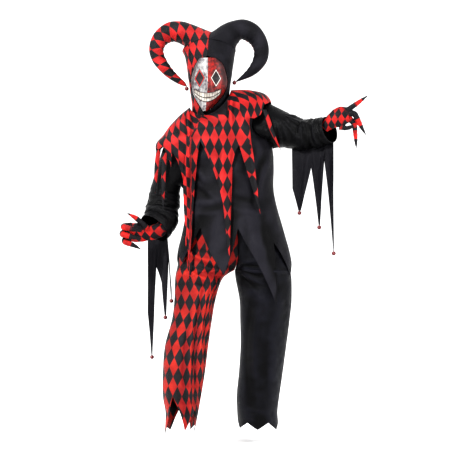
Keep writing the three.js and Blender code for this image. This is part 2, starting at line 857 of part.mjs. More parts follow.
const WAIST = { x: 110.5, y: 5, z: -419, wide: 165.5, deep: 112, tall: 34, draw: 6 };
const waistband = wall(
  28,
  2,
  (u, v) => {
    const angle = u * 2 * Math.PI;
    const draw = WAIST.draw * Math.sin(Math.PI * v);
    return vector(
      WAIST.x + (WAIST.wide - draw) * Math.cos(angle),
      WAIST.y - (WAIST.deep - draw) * Math.sin(angle),
      WAIST.z + 2 * SEAM_GAP + WAIST.tall * (1 - v),
    );
  },
  { thick: CLOTH, closed: true },
);
add('waistband', waistband, BLACK);

// Hood

/** The face opening at a height: its centre and half width, or none. */
function opening(z) {
  if (z >= FACE_TOP || z <= FACE_FOOT) return { x: z >= FACE_TOP ? -3 : -14, half: 0 };
  const rows = [...MASK].reverse();
  const row = straight(rows, 'z', z);
  const top = Math.min(1, (FACE_TOP - z) / (FACE_TOP - MASK[0].z));
  const foot = Math.min(1, (z - FACE_FOOT) / (MASK[MASK.length - 1].z - FACE_FOOT));
  return { x: row.x, half: (row.half + FACE_GAP) * Math.min(top, foot) };
}

const HOOD_LEVELS = [-8, 4, 16, 36, 62, 94, 128, 162, 200, 232, 255, 265, 283];

function hoodPanel(quarter) {
  const front = quarter < 2;
  const right = quarter === 0 || quarter === 3;
  const last = HOOD.length - 1;
  const pointAt = (u, v, i, j) => {
    const seamAngle = right ? 0 : Math.PI;
    const edgeAngle = (s, z) => {
      if (!front) return (3 * Math.PI) / 2;
      const ring = between(HOOD, s);
      const face = opening(z);
      const x = face.x + (right ? 1 : -1) * face.half;
      return Math.acos((x - ring.x) / ring.wide);
    };
    const topRow = j === HOOD_LEVELS.length;
    const from = quarter === 3 ? 2 * Math.PI : seamAngle;
    let angle = from;
    let s = last;
    for (let step = 0; step < 6; step += 1) {
      const z = topRow ? FACE_TOP + 1 : HOOD_LEVELS[j];
      const held = angle;
      s = topRow ? last : rowAtHeight(HOOD, () => held, HOOD_LEVELS[j]);
      const target = topRow && front ? Math.PI / 2 : edgeAngle(s, z);
      angle = from + (target - from) * u;
    }
    if (topRow) s = last;
    return ringPoint(HOOD, angle, s);
  };
  const outward = quarter % 2 === 0 ? -1 : 1;
  return wall(7, HOOD_LEVELS.length, pointAt, { thick: CLOTH, outward, seamed: true });
}
add('hood_front_right', hoodPanel(0), BLACK, [half, -half, 0]);
add('hood_front_left', hoodPanel(1), DIAMOND, [-half, -half, 0]);
add('hood_back_left', hoodPanel(2), BLACK, [-half, half, 0]);
add('hood_back_right', hoodPanel(3), DIAMOND, [half, half, 0]);

// Horns

/**
 * Half of a stuffed horn. Its root follows the hood's edge from the side to the middle and
 * then the seam up to the notch between the horns. Later sections are half ovals.
 */
function hornHalf(rows, side, face) {
  const last = HOOD.length - 1;
  const points = [];
  const notch = vector(HORN_NOTCH.x, HORN_NOTCH.y, HORN_NOTCH.z);
  const saddle = ringPoint(HOOD, Math.PI / 2, last);
  saddle.y = HORN_NOTCH.y - face * (HORN_NOTCH.y - saddle.y);
  for (let k = 0; k <= HORN_ARC; k += 1) {
    const f = k / HORN_ARC;
    if (f <= HORN_SADDLE) {
      const turn = (f / HORN_SADDLE) * (Math.PI / 2);
      const angle = side > 0 ? face * turn : Math.PI - face * turn;
      points.push(ringPoint(HOOD, angle, last));
    } else {
      const rise = (f - HORN_SADDLE) / (1 - HORN_SADDLE);
      const point = mix(saddle, notch, rise);
      point.z = saddle.z + (notch.z - saddle.z) * Math.sin((rise * Math.PI) / 2);
      points.push(point);
    }
  }
  points.push(vector(side * 70, HORN_NOTCH.y, 350));
  rows.forEach((row, r) => {
    const ahead = rows[Math.min(r + 1, rows.length - 1)];
    const behind = rows[Math.max(r - 1, 0)];
    const along = vector(ahead.x - behind.x, 0, ahead.z - behind.z).normalize();
    const out = vector(along.z, 0, -along.x).multiplyScalar(side);
    for (let k = 0; k <= HORN_ARC; k += 1) {
      const angle = (k / HORN_ARC) * Math.PI;
      const point = vector(row.x, row.y, row.z);
      point.addScaledVector(out, row.wide * Math.cos(angle));
      point.y -= face * row.deep * Math.sin(angle);
      points.push(point);
    }
    points.push(vector(row.x, row.y, row.z));
  });
  const ring = HORN_ARC + 2;
  const sections = rows.length + 1;
  const faces = [];
  const turned = side * face < 0;
  const triangle = (a, b, c) => (turned ? faces.push(a, b, c) : faces.push(a, c, b));
  for (let r = 0; r < sections - 1; r += 1) {
    for (let k = 0; k < ring; k += 1) {
      const [a, b] = [r * ring + k, r * ring + ((k + 1) % ring)];
      triangle(a, b, b + ring);
      triangle(a, b + ring, a + ring);
    }
  }
  const end = (sections - 1) * ring;
  for (let k = 0; k < HORN_ARC; k += 1) {
    triangle(HORN_ARC + 1, k + 1, k);
    triangle(end + HORN_ARC + 1, end + k, end + k + 1);
  }
  return solid(points, faces);
}
const lift = 2 * SEAM_GAP;
add('horn_left_front', hornHalf(HORN_LEFT, -1, 1), DIAMOND, [-half, -half, lift]);
add('horn_left_back', hornHalf(HORN_LEFT, -1, -1), BLACK, [-half, half, lift]);
add('horn_right_front', hornHalf(HORN_RIGHT, 1, 1), BLACK, [half, -half, lift]);
add('horn_right_back', hornHalf(HORN_RIGHT, 1, -1), DIAMOND, [half, half, lift]);

// Joining and cutting of closed solids

const wasm = await Module();
wasm.setup();
const { Manifold, Mesh } = wasm;

function toManifold(geometry) {
  const mesh = new Mesh({
    numProp: 3,
    vertProperties: new Float32Array(geometry.getAttribute('position').array),
    triVerts: new Uint32Array(geometry.getIndex().array),
  });
  mesh.merge();
  return new Manifold(mesh);
}

function fromManifold(body) {
  const mesh = body.getMesh();
  const geometry = new THREE.BufferGeometry();
  geometry.setAttribute('position', new THREE.Float32BufferAttribute(mesh.vertProperties, 3));
  geometry.setIndex(Array.from(mesh.triVerts));
  geometry.computeVertexNormals();
  return geometry;
}

/** A solid tube along a path of sections, with closed ends. */
function limb(rows, sides, inset) {
  const points = [];
  const faces = [];
  let up = vector(0, 0, 1);
  rows.forEach((row, r) => {
    const ahead = rows[Math.min(r + 1, rows.length - 1)];
    const behind = rows[Math.max(r - 1, 0)];
    const along = vector(ahead.x - behind.x, ahead.y - behind.y, ahead.z - behind.z).normalize();
    if (r === 0 && Math.abs(along.z) > 0.8) up = vector(-1, 0, 0);
    up = up.clone().addScaledVector(along, -up.dot(along)).normalize();
    const through = along.clone().cross(up);
    for (let k = 0; k < sides; k += 1) {
      const angle = (k / sides) * 2 * Math.PI;
      const point = vector(row.x, row.y, row.z);
      point.addScaledVector(up, Math.max(row.wide - inset, 0.2) * Math.cos(angle));
      point.addScaledVector(through, Math.max(row.deep - inset, 0.2) * Math.sin(angle));
      points.push(point);
    }
  });
  for (let r = 0; r < rows.length - 1; r += 1) {
    for (let k = 0; k < sides; k += 1) {
      const [a, b] = [r * sides + k, r * sides + ((k + 1) % sides)];
      faces.push(a, b, b + sides, a, b + sides, a + sides);
    }
  }
  const end = (rows.length - 1) * sides;
  for (let k = 1; k < sides - 1; k += 1) {
    faces.push(0, k + 1, k);
    faces.push(end, end + k, end + k + 1);
  }
  return toManifold(solid(points, faces));
}

/** A hollow glove: joined tubes with the same tubes, drawn in, cut out of it. */
function glove(hand) {
  const outer = [limb(hand.palm, 10, 0), ...hand.fingers.map((rows) => limb(rows, 6, 0))];
  const palm = hand.palm.map((row) => ({ ...row }));
  palm[0].x += (palm[0].x - palm[1].x) * 0.3;
  palm[0].y += (palm[0].y - palm[1].y) * 0.3;
  palm[0].z += (palm[0].z - palm[1].z) * 0.3;
  const fingers = hand.fingers.map((rows) => rows.slice(0, HOLLOW_ROWS));
  const inner = [limb(palm, 10, GLOVE_CLOTH), ...fingers.map((rows) => limb(rows, 6, GLOVE_CLOTH))];
  const joined = Manifold.union(outer).subtract(Manifold.union(inner)).simplify(GLOVE_DETAIL);
  const parts = joined.decompose();
  return parts.reduce((best, part) => (part.volume() > best.volume() ? part : best));
}
add('glove_open', fromManifold(glove(OPEN_HAND)), DIAMOND);
add('glove_closed', fromManifold(glove(CLOSED_HAND)), DIAMOND);

// Mask

function maskPoint(u, v) {
  const row = between(MASK, v * (MASK.length - 1));
  const across = 2 * u - 1;
  const x = row.x + row.half * across;
  const round = Math.pow(1 - across * across, 0.6);
  const dx = (x - NOSE.x) / NOSE.wide;
  const dz = (row.z - NOSE.z) / NOSE.tall;
  const nose = NOSE.high * Math.exp(-dx * dx - dz * dz);
  return vector(x, row.edge + (row.front - row.edge) * round - nose, row.z);
}

/** A straight cutter through the mask, from an outline in the front view. */
function cutter(outline) {
  const points = [];
  const count = outline.length;
  const [front, back] = [-190, -20];
  outline.forEach(([x, z]) => points.push(vector(x, front, z)));
  outline.forEach(([x, z]) => points.push(vector(x, back, z)));
  const faces = [];
  for (let k = 0; k < count; k += 1) {
    const next = (k + 1) % count;
    faces.push(k, count + next, next, k, count + k, count + next);
  }
  for (let k = 1; k < count - 1; k += 1) {
    faces.push(0, k, k + 1);
    faces.push(count, count + k + 1, count + k);
  }
  return toManifold(solid(points, faces));
}

function eyeOutline(eye) {
  const outline = [];
  const corners = 12;
  for (let k = 0; k < corners; k += 1) {
    const angle = (k / corners) * 2 * Math.PI;
    const x = eye.half * Math.cos(angle);
    outline.push([eye.x + x, eye.z + eye.tall * Math.sin(angle) + eye.slant * x]);
  }
  return outline;
}

let mask = toManifold(wall(14, 13, maskPoint, { thick: MASK_SHELL, outward: -1 }));
EYES.forEach((eye) => {
  mask = mask.subtract(cutter(eyeOutline(eye)));
});
add('mask', fromManifold(mask), SHELL);

// Bells

function tipBells(rows, side, fold, foot, line, tips) {
  return tips.map((share) => {
    const tip = tailPoint(rows, side, fold, foot, line, share, 1);
    tip.z -= BELL_RADIUS + BELL_GAP;
    return tip;
  });
}

const bells = [
  ...HORN_BELLS,
  ...tipBells(RAISED_SLEEVE, 1, raisedFold, RAISED_TAILS, RAISED_TAIL_LINE, RAISED_TIPS),
  ...tipBells(LOWERED_SLEEVE, -1, loweredFold, LOWERED_TAILS, LOWERED_TAIL_LINE, LOWERED_TIPS),
];
bells.forEach((spot, k) => {
  const bell = new THREE.SphereGeometry(BELL_RADIUS, 10, 6);
  bell.rotateX(Math.PI / 2);
  bell.translate(spot.x, spot.y, spot.z);
  add(`bell_${k + 1}`, bell, BELL);
});

export default group;
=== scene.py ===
"""Jester costume as worn: hooded mask, horned hood, collar, tunic with tailed sleeves,
gloves and trousers. Sizes in the tables are millimetres; meshes are made in metres."""
import bpy
import numpy as np
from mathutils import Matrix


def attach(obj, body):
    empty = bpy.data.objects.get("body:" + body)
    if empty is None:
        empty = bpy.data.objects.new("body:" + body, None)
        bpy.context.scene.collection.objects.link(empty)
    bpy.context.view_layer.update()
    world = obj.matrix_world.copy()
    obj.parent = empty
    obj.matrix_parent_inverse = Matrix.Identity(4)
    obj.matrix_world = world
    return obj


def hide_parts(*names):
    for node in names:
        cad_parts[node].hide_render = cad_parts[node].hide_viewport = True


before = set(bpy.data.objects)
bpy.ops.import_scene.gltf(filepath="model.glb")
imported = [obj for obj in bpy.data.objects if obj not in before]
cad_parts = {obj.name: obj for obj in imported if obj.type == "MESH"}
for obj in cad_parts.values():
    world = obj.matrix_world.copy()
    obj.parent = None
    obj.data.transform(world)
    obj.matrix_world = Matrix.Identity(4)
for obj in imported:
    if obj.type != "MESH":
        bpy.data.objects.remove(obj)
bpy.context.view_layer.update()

# Camera at the height of the hips, level, 5.2 m in front of the costume
SENSOR = 36.0
LENS = 88.47
CAMERA_PLACE = (0.0966, -5.2, -0.5198)
FARTHEST = 200
camera_data = bpy.data.cameras.new("camera")
camera_data.sensor_width = SENSOR
camera_data.lens = LENS
camera_data.clip_end = FARTHEST
camera = bpy.data.objects.new("camera", camera_data)
camera.location = CAMERA_PLACE
camera.rotation_euler = (np.pi / 2, 0, 0)
bpy.context.scene.collection.objects.link(camera)
bpy.context.scene.camera = camera

MM = 0.001
TAU = 2 * np.pi
DEGREE = np.pi / 180

# Walls of the cloth and of the mask, the gap between sewn pieces and the height of the
# collar above its rings, in millimetres
CLOTH = 1.6
COLLAR_CLOTH = 1.4
GLOVE_CLOTH = 1.4
MASK_SHELL = 2.2
SEAM_GAP = 0.36
HALF_GAP = SEAM_GAP / 2
COLLAR_LIFT = 4

# Steps in which a row number is found by halving
HALVINGS = 24

# Tables of sections, hems, tails and hands


def table(names, rows):
    """A dictionary of named columns, each an array, from rows of numbers."""
    data = np.array(rows, float)
    return {name: data[:, k] for k, name in enumerate(names.split())}


# Rings from top to foot: centre, half width and half depth, roll in degrees, how far the
# middle hangs below the sides, and the power of the sine that gives the depth
RING = "x y z wide deep roll drop box"
TUNIC = table(RING, [
    [4, 10, 61, 98, 89, 22, 62, 1],
    [16, 8, 47, 156, 104, 22.4, 48, 1],
    [14, 5, -6, 232, 122, 24, 34, 1],
    [39, 0, -124, 225, 132, 24, 14, 1],
    [87, -2, -239, 225, 134, 24, 0, 1],
    [97, -2, -382, 205, 130, 10, 0, 1],
    [108, -2, -520, 232, 146, 3, 0, 1],
    [113, -2, -667, 267, 166, 0, 0, 1],
    [110, -2, -888, 284, 176, 0, 0, 1],
])
COLLAR = table(RING, [
    [7, 8, 81, 104, 97, 22.5, 80, 0.82],
    [23, 8, 58, 177, 116, 20.5, 70, 0.82],
    [28, 6, 8, 251, 134, 21, 50, 0.82],
    [25, 2, -64, 285, 150, 20, 30, 0.82],
    [87, -2, -239, 236, 148, 24, 0, 0.82],
    [97, -2, -382, 216, 142, 10, 0, 0.82],
    [108, -2, -520, 243, 158, 3, 0, 0.82],
    [113, -2, -667, 278, 178, 0, 0, 0.82],
    [110, -2, -888, 295, 200, 0, 0, 0.82],
])
HOOD = table(RING, [
    [5, 5, -8, 82, 70, 0, 6, 1],
    [5, 5, 60, 84, 78, 0, 0, 1],
    [4, 0, 124, 92, 98, 0, 0, 1],
    [4, 5, 198, 102, 108, 0, 0, 1],
    [4, 8, 263, 112, 110, 0, -10, 1],
    [0, 10, 301, 123, 102, 0, -42, 1],
])
# Lower edges: height and drift sideways at an angle round the body
HEM = "angle drift z"
TUNIC_FRONT_HEM = table(HEM, [
    [0, 0, -650], [20, 0, -725], [42, 0, -575], [46, 0, -860], [84, 0, -512],
    [99, 0, -722], [130, 0, -508], [150, 0, -668], [180, 0, -590],
])
TUNIC_BACK_HEM = table(HEM, [
    [180, 0, -590], [205, 0, -740], [226, 0, -560], [250, 0, -800], [272, 0, -540],
    [296, 0, -820], [318, 0, -560], [342, 0, -745], [360, 0, -650],
])
COLLAR_FRONT_HEM = table(HEM, [
    [0, 0, 62], [14, 0, 60], [28, 0, 44], [36, 0, -4], [45, 0, -22], [51.5, 0, -20],
    [53, 0, -104], [55.5, 45, -330], [57.5, 70, -452], [60.5, 30, -290], [64.2, 0, -144],
    [68, 0, -172], [71, 0, -225], [72.6, 0, -420], [74, 0, -662], [77, 0, -560],
    [80.5, 0, -408], [84.4, 0, -328], [90.3, 0, -252], [96.2, 0, -185], [102.5, 0, -126],
    [105, 0, -180], [108.5, 0, -330], [111.5, 0, -520], [114.2, 0, -762], [115.6, 0, -540],
    [117.7, 0, -610], [119.8, 0, -330], [123.3, 0, -260], [128.1, 0, -216],
    [134.6, 0, -171], [142, 0, -238], [151, 0, -142], [160, 0, -158], [170, 0, -150],
    [180, 0, -158],
])
COLLAR_BACK_HEM = table(HEM, [
    [180, 0, -158], [194, 0, -168], [210, 0, -128], [234, 0, -420], [252, 0, -120],
    [272, 0, -560], [292, 0, -100], [310, 0, -380], [328, 0, -14], [344, 0, 14],
    [360, 0, 62],
])
# Rows of the tunic between which the armhole lies, and how far it cuts into the body
ARMHOLE_TOP, ARMHOLE_FOOT = 2, 4
ARMHOLE_BULGE = 38 * DEGREE

# Tubes: centre and two half widths
TUBE = "x y z wide deep"
RAISED_SLEEVE = table(TUBE, [
    [349, -20, -64, 80, 82],
    [416, -45, -84, 71, 74],
    [469, -70, -84, 67, 70],
    [512, -92, -77, 64, 66],
    [545, -116, -68, 60, 60],
])
LOWERED_SLEEVE = table(TUBE, [
    [-195, 8, -306, 66, 72],
    [-205, 10, -366, 71, 72],
    [-214, -4, -430, 76, 72],
    [-222, -32, -480, 76, 70],
    [-247, -64, -512, 76, 62],
])
# Legs: x of both sides at a height, how far the inner side turns round, half depth and y
LEG = "z outer inner turn deep y"
DIAMOND_LEG = table(LEG, [
    [-419, -55, 124, 0, 112, 5],
    [-497, -101, 129, 0, 124, 2],
    [-589, -127, 133, 6, 122, 0],
    [-658, -139, 133, 38, 116, -6],
    [-703, -148, 118, 90, 108, -16],
    [-743, -154, 62, 90, 104, -40],
    [-837, -155, 31, 90, 100, -85],
    [-923, -164, 16, 90, 96, -130],
    [-1029, -191, 1, 90, 98, -190],
    [-1133, -197, -11, 90, 104, -250],
    [-1234, -194, -27, 90, 110, -305],
    [-1302, -181, -39, 90, 112, -340],
    [-1386, -181, -55, 90, 114, -375],
])
BLACK_LEG = table(LEG, [
    [-419, 276, 124, 0, 112, 5],
    [-497, 322, 129, 0, 124, 2],
    [-589, 352, 133, 6, 122, 0],
    [-658, 364, 133, 38, 116, -6],
    [-703, 372, 118, 90, 111.1, -16],
    [-745, 379, 122, 90, 108, -12],
    [-842, 380, 140, 90, 112, 0],
    [-935, 371, 143, 90, 110, 10],
    [-1051, 357, 145, 90, 106, 20],
    [-1168, 342, 138, 90, 104, 30],
    [-1285, 326, 127, 90, 106, 40],
    [-1364, 317, 129, 90, 110, 45],
    [-1434, 324, 134, 90, 112, 45],
])
# Row of both legs at the crotch
CROTCH_ROW = 4
# Trouser hems: height above the lowest point at a share of the way across
NOTCH = "share rise"
DIAMOND_FRONT_HEM = table(NOTCH, [
    [0, 30], [0.12, 0], [0.36, 160], [0.62, 24], [0.8, 110], [0.93, 0], [1, 60],
])
DIAMOND_BACK_HEM = table(NOTCH, [[0, 30], [0.25, 0], [0.5, 110], [0.75, 0], [1, 60]])
BLACK_HEM = table(NOTCH, [
    [0, 40], [0.18, 0], [0.34, 36], [0.52, 6], [0.68, 36], [0.86, 4], [1, 44],
])
HORN_LEFT = table(TUBE, [
    [-96, 8, 376, 53, 74],
    [-138, 4, 391, 49, 54],
    [-174, 2, 391, 46, 45],
    [-203, 0, 376, 42, 42],
    [-230, -2, 348, 37, 37],
    [-242, -4, 310, 34, 34],
    [-234, -6, 273, 32, 32],
    [-212, -8, 236, 28, 29],
    [-182, -10, 201, 23, 24],
    [-145, -11, 170, 17, 18],
    [-116, -12, 150, 11, 12],
    [-103, -12, 140, 4, 5],
])
HORN_RIGHT = table(TUBE, [
    [92, 8, 374, 58, 76],
    [124, 4, 396, 48, 54],
    [157, 0, 402, 46, 46],
    [193, -2, 387, 45, 45],
    [223, -4, 355, 40, 40],
    [240, -6, 313, 36, 36],
    [237, -7, 270, 34, 34],
    [218, -9, 233, 28, 28],
    [191, -10, 204, 21, 21],
    [156, -11, 180, 12, 13],
    [125, -12, 161, 4, 5],
])
# Where the two horns meet, and the share of a horn's root that lies on the hood's edge
HORN_NOTCH = np.array([14.0, 10.0, 391.0])
HORN_SADDLE = 0.62
# Mask: middle and half width at a height, and y of the front and of the edge
FACE = "z x half front edge"
MASK = table(FACE, [
    [255, -4, 36, -120, -108],
    [232, 2, 60, -124, -88],
    [201, 2, 74, -128, -68],
    [160, 2, 83, -128, -52],
    [129, 1.5, 79, -126, -52],
    [93, -2, 67, -125, -58],
    [61, -6.5, 46, -121, -72],
    [34, -12, 24, -116, -84],
    [16, -17, 9, -108, -92],
])
# Gap between mask and hood, and the heights where the face opening comes to a point
FACE_GAP, FACE_TOP, FACE_FOOT = 3, 264, 4
# Eye holes: centre, half length, half height and slant
EYES = table("x z half tall slant", [[-38, 163, 22, 13, -0.22], [38, 163, 22, 13, 0.22]])
# Tails: height of the lower end and shift sideways at a share of the way across
TAIL = "share shift z"
RAISED_TAILS = table(TAIL, [
    [0, 0, -330], [0.11, 0, -432], [0.32, 2, -236], [0.53, 2, -498], [0.7, -4, -208],
    [0.97, 6, -615], [1, 4, -560],
])
LOWERED_TAILS = table(TAIL, [
    [0, -2, -900], [0.16, 4, -1092], [0.36, 0, -690], [0.56, 4, -760], [0.72, 8, -908],
    [0.84, 12, -640], [0.96, 20, -832], [1, 20, -790],
])
# The line under the sleeve from which the tails hang: first and last row and turn, then
# the size of their swing and its waves
RAISED_LINE = dict(first=1.75, last=4.95, turn=(0.5, 0.5), size=7, count=17)
LOWERED_LINE = dict(first=5, last=5, turn=(0.77, 0.48), size=5, count=15)
# Strips: middle and half width
STRIP = "x y z half"
COLLAR_POINTS = [
    table(STRIP, [[251.6, -91, 24.6, 9], [268, -104, -20, 10], [284, -111, -70, 9],
                  [304, -113, -118, 6], [325, -110, -158, 1]]),
    table(STRIP, [[-228, -62, -154, 10], [-236, -72, -225, 10], [-240, -74, -290, 7],
                  [-243, -76, -352, 1]]),
    table(STRIP, [[-198.6, -93.7, -170.6, 11], [-203, -97, -240, 10], [-204, -97, -310, 9],
                  [-205, -99, -370, 6], [-204, -106, -424, 1]]),
]
# Hands: the first tube is the palm and the others are fingers
OPEN_HAND = [table(TUBE, rows) for rows in (
    [[515.6, -109.2, -61.5, 26, 24], [541.2, -119.1, -41.5, 29, 27],
     [572, -130, -21, 41, 25], [600, -136, -9, 44, 21], [626, -136, -5, 34, 17]],
    [[606, -134, 4, 15, 13], [632, -134, 24, 12, 11], [664, -136, 46, 10.5, 10],
     [694, -138, 68, 6, 6], [714, -140, 82, 1, 1]],
    [[616, -138, -4, 14, 13], [650, -140, 2, 13, 12], [668, -142, -26, 12, 11],
     [686, -142, -62, 8, 8], [706, -142, -96, 1, 1]],
    [[630, -132, -20, 14, 12], [652, -132, -44, 12, 11], [658, -132, -84, 10, 9],
     [661, -132, -122, 7, 7], [663, -132, -156, 1, 1]],
    [[586, -140, -58, 13, 12], [616, -142, -64, 10, 10], [640, -143, -58, 8, 8],
     [660, -143, -50, 5, 5], [672, -143, -44, 1, 1]],
)]
CLOSED_HAND = [table(TUBE, rows) for rows in (
    [[-203, -50.6, -494.4, 28, 27], [-224.4, -91.6, -521.3, 33, 31],
     [-276, -122, -534, 35, 24], [-316, -138, -532, 44, 21], [-346, -144, -530, 42, 17]],
    [[-342, -145, -502, 16, 14], [-372, -164, -504, 15, 14], [-372, -194, -508, 14, 13],
     [-342, -206, -514, 12, 11], [-312, -198, -522, 7, 7], [-292, -192, -528, 1, 1]],
    [[-350, -146, -530, 16, 14], [-378, -164, -534, 15, 14], [-376, -196, -540, 14, 13],
     [-344, -208, -548, 12, 11], [-312, -200, -556, 7, 7], [-290, -194, -561, 1, 1]],
    [[-340, -145, -557, 15, 14], [-370, -164, -564, 14, 13], [-366, -194, -574, 13, 12],
     [-338, -204, -584, 11, 10], [-314, -196, -596, 6, 6], [-298, -190, -606, 1, 1]],
    [[-276, -146, -512, 15, 13], [-298, -164, -488, 13, 12], [-320, -172, -468, 11, 10],
     [-340, -174, -456, 7, 7], [-362, -174, -444, 1, 1]],
)]
# Bells, and the tails' tips that carry one, as shares of the tails' width
BELL_RADIUS = 9.5
BELL_GAP = 0.6
HORN_BELLS = [(-102.2, -12, 128.6), (116.9, -12.3, 156)]
RAISED_TIPS = (0.11, 0.53, 0.97)
LOWERED_TIPS = (0.16, 0.72, 0.96)

# Surfaces worked out from the tables


def between(rows, s, corner=-1):
    """Catmull-Rom values of every column at row number s, with a corner at one row."""
    last = len(next(iter(rows.values()))) - 1
    s = np.clip(np.asarray(s, float), 0, last)
    i = np.minimum(s.astype(int), last - 1)
    f = s - i
    before = np.where(i == corner, i, np.maximum(i - 1, 0))
    after = np.where(i + 1 == corner, i + 1, np.minimum(i + 2, last))
    out = {}
    for name, c in rows.items():
        a, b, d, e = c[before], c[i], c[i + 1], c[after]
        out[name] = 0.5 * (2 * b + (d - a) * f + (2 * a - 5 * b + 4 * d - e) * f ** 2
                           + (3 * b - a - 3 * d + e) * f ** 3)
    return out


def point(x, y, z):
    """Points from arrays of x, y and z that are broadcast against each other."""
    return np.stack(np.broadcast_arrays(x, y, z), axis=-1).astype(float)


def unit(v):
    """Each vector over its own length."""
    return v / np.maximum(np.linalg.norm(v, axis=-1, keepdims=True), 1e-9)


def ring_point(rows, angle, s):
    """Oval ring: centre + (half width cos a) along the rolled axis, half depth sin a
    towards the front, less a drop that grows with |sin a| to the power 1.5."""
    ring = between(rows, s)
    roll = ring["roll"] * DEGREE
    reach = ring["wide"] * np.cos(angle)
    sine = np.abs(np.sin(angle))
    deep = ring["deep"] * np.sign(np.sin(angle)) * sine ** ring["box"]
    return point(ring["x"] + reach * np.cos(roll), ring["y"] - deep,
                 ring["z"] + reach * np.sin(roll) - ring["drop"] * sine ** 1.5)


def row_at_height(rows, angle_at, z):
    """Row number where the ring point has height z, by halving the range."""
    low = np.zeros_like(z)
    high = np.full_like(z, len(rows["z"]) - 1)
    top, foot = (ring_point(rows, angle_at(s), s)[..., 2] for s in (low, high))
    for _ in range(HALVINGS):
        middle = (low + high) / 2
        above = ring_point(rows, angle_at(middle), middle)[..., 2] > z
        further = above == (top > foot)
        low = np.where(further, middle, low)
        high = np.where(further, high, middle)
    return (low + high) / 2


def normals(grid, closed=False):
    """Cross product of the grid's two central differences, made one unit long."""
    if closed:
        du = np.roll(grid, -1, 0) - np.roll(grid, 1, 0)
    else:
        du = np.gradient(grid, axis=0)
    return unit(np.cross(du, np.gradient(grid, axis=1)))


def run(grid, axis):
    """Length along one axis of the grid, from its first point, in the grid's units."""
    step = np.linalg.norm(np.diff(grid, axis=axis), axis=-1)
    start = np.zeros_like(np.take(step, [0], axis))
    return np.concatenate([start, np.cumsum(step, axis)], axis)


def smooth(a, b, x):
    """0 at a, 1 at b, and 3 t squared less 2 t cubed between, with t the share of the way."""
    t = np.clip((x - a) / (b - a), 0, 1)
    return t * t * (3 - 2 * t)


def hill(x, width):
    """Bell curve: e to the power of minus the square of x over the width."""
    return np.exp(-(x / width) ** 2)


# Bow of a fold's line, as a share of its length
FOLD_BOW = 0.048


def fold_lines(grid, rows):
    """For each fold, in the front view: a half sine along it, the distance across its
    bowed line, and the direction across. Columns of the rows: x0 z0 x1 z1 width depth."""
    x, z = grid[..., 0], grid[..., 2]
    for x0, z0, x1, z1, width, depth in rows:
        long = np.hypot(x1 - x0, z1 - z0)
        ux, uz = (x1 - x0) / long, (z1 - z0) / long
        share = ((x - x0) * ux + (z - z0) * uz) / long
        arch = np.sin(np.pi * np.clip(share, 0, 1))
        across = (x - x0) * uz - (z - z0) * ux - FOLD_BOW * long * arch
        yield arch, across, (uz, ux), width, depth


def crease(grid, rows):
    """Sum of long soft ridges and troughs: each falls off as a bell curve across its line
    and as a power of a half sine along it."""
    total = np.zeros(grid.shape[:-1])
    for arch, across, _, width, depth in fold_lines(grid, rows):
        total += depth * arch ** 0.7 * hill(across, width)
    return total


def taken_up(grid, rows):
    """How far the print is carried towards each fold, because the fold takes up cloth: a
    step across its line that fades away from it and towards its ends."""
    shift = np.zeros(grid.shape[:-1] + (2,))
    for arch, across, direction, width, depth in fold_lines(grid, rows):
        step = 0.8 * abs(depth) * np.tanh(across / (0.5 * width)) * np.exp(-np.abs(across) / 30)
        shift += (step * arch ** 0.5)[..., None] * direction
    return shift


def rumple(grid, seed, length):
    """Sum of six sine waves over the front view with seeded headings, lengths and phases,
    each bent by a slower wave, so that no two soft folds are alike."""
    random = np.random.default_rng(seed)
    x, z = grid[..., 0] + 0.6 * grid[..., 1], grid[..., 2]
    total = 0
    for heading, share, phase in random.uniform((0, 0.6, 0), (np.pi, 1.6, TAU), (6, 3)):
        along = x * np.cos(heading) + z * np.sin(heading)
        aside = x * np.sin(heading) - z * np.cos(heading)
        bend = 0.9 * np.sin(aside * 4 / (length * share) + 2 * phase)
        total = total + np.sin(along * TAU / (length * share) + phase + bend)
    return total / np.sqrt(6)


# Meshes

# Every piece by its name, and the outer points and normals of each cloth wall
walls = {}


def link(name, data):
    """A new object at the origin, in the scene."""
    body = bpy.data.objects.new(name, data)
    bpy.context.scene.collection.objects.link(body)
    return body


def note(body, label, values):
    """Keeps one number for every point of a mesh, under a label that a finish reads."""
    mark = body.data.attributes.new(label, "FLOAT", "POINT")
    mark.data.foreach_set("value", np.asarray(values, np.float32).ravel())


def piece(name, points, faces, finish, nodes=(), uv=None, corners=None, flat=None):
    """A mesh object in metres that rides the one body. uv is given for every corner
    number in corners, which is faces before any columns were joined. Faces from number
    flat on, such as a rim's, are shaded flat."""
    mesh = bpy.data.meshes.new(name)
    mesh.from_pydata((points * MM).tolist(), [], [list(f) for f in faces])
    smooth_face = np.ones(len(faces), bool)
    if flat is not None:
        smooth_face[flat:] = False
    mesh.polygons.foreach_set("use_smooth", smooth_face)
    if uv is not None:
        layer = mesh.uv_layers.new(name="cloth")
        order = np.concatenate([np.asarray(f) for f in (corners if corners is not None else faces)])
        layer.data.foreach_set("uv", (uv[order] * MM).astype(np.float32).ravel())
    mesh.materials.append(finish)
    mesh.update()
    body = link(name, mesh)
    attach(body, "root")
    if nodes:
        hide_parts(*nodes)
    return body


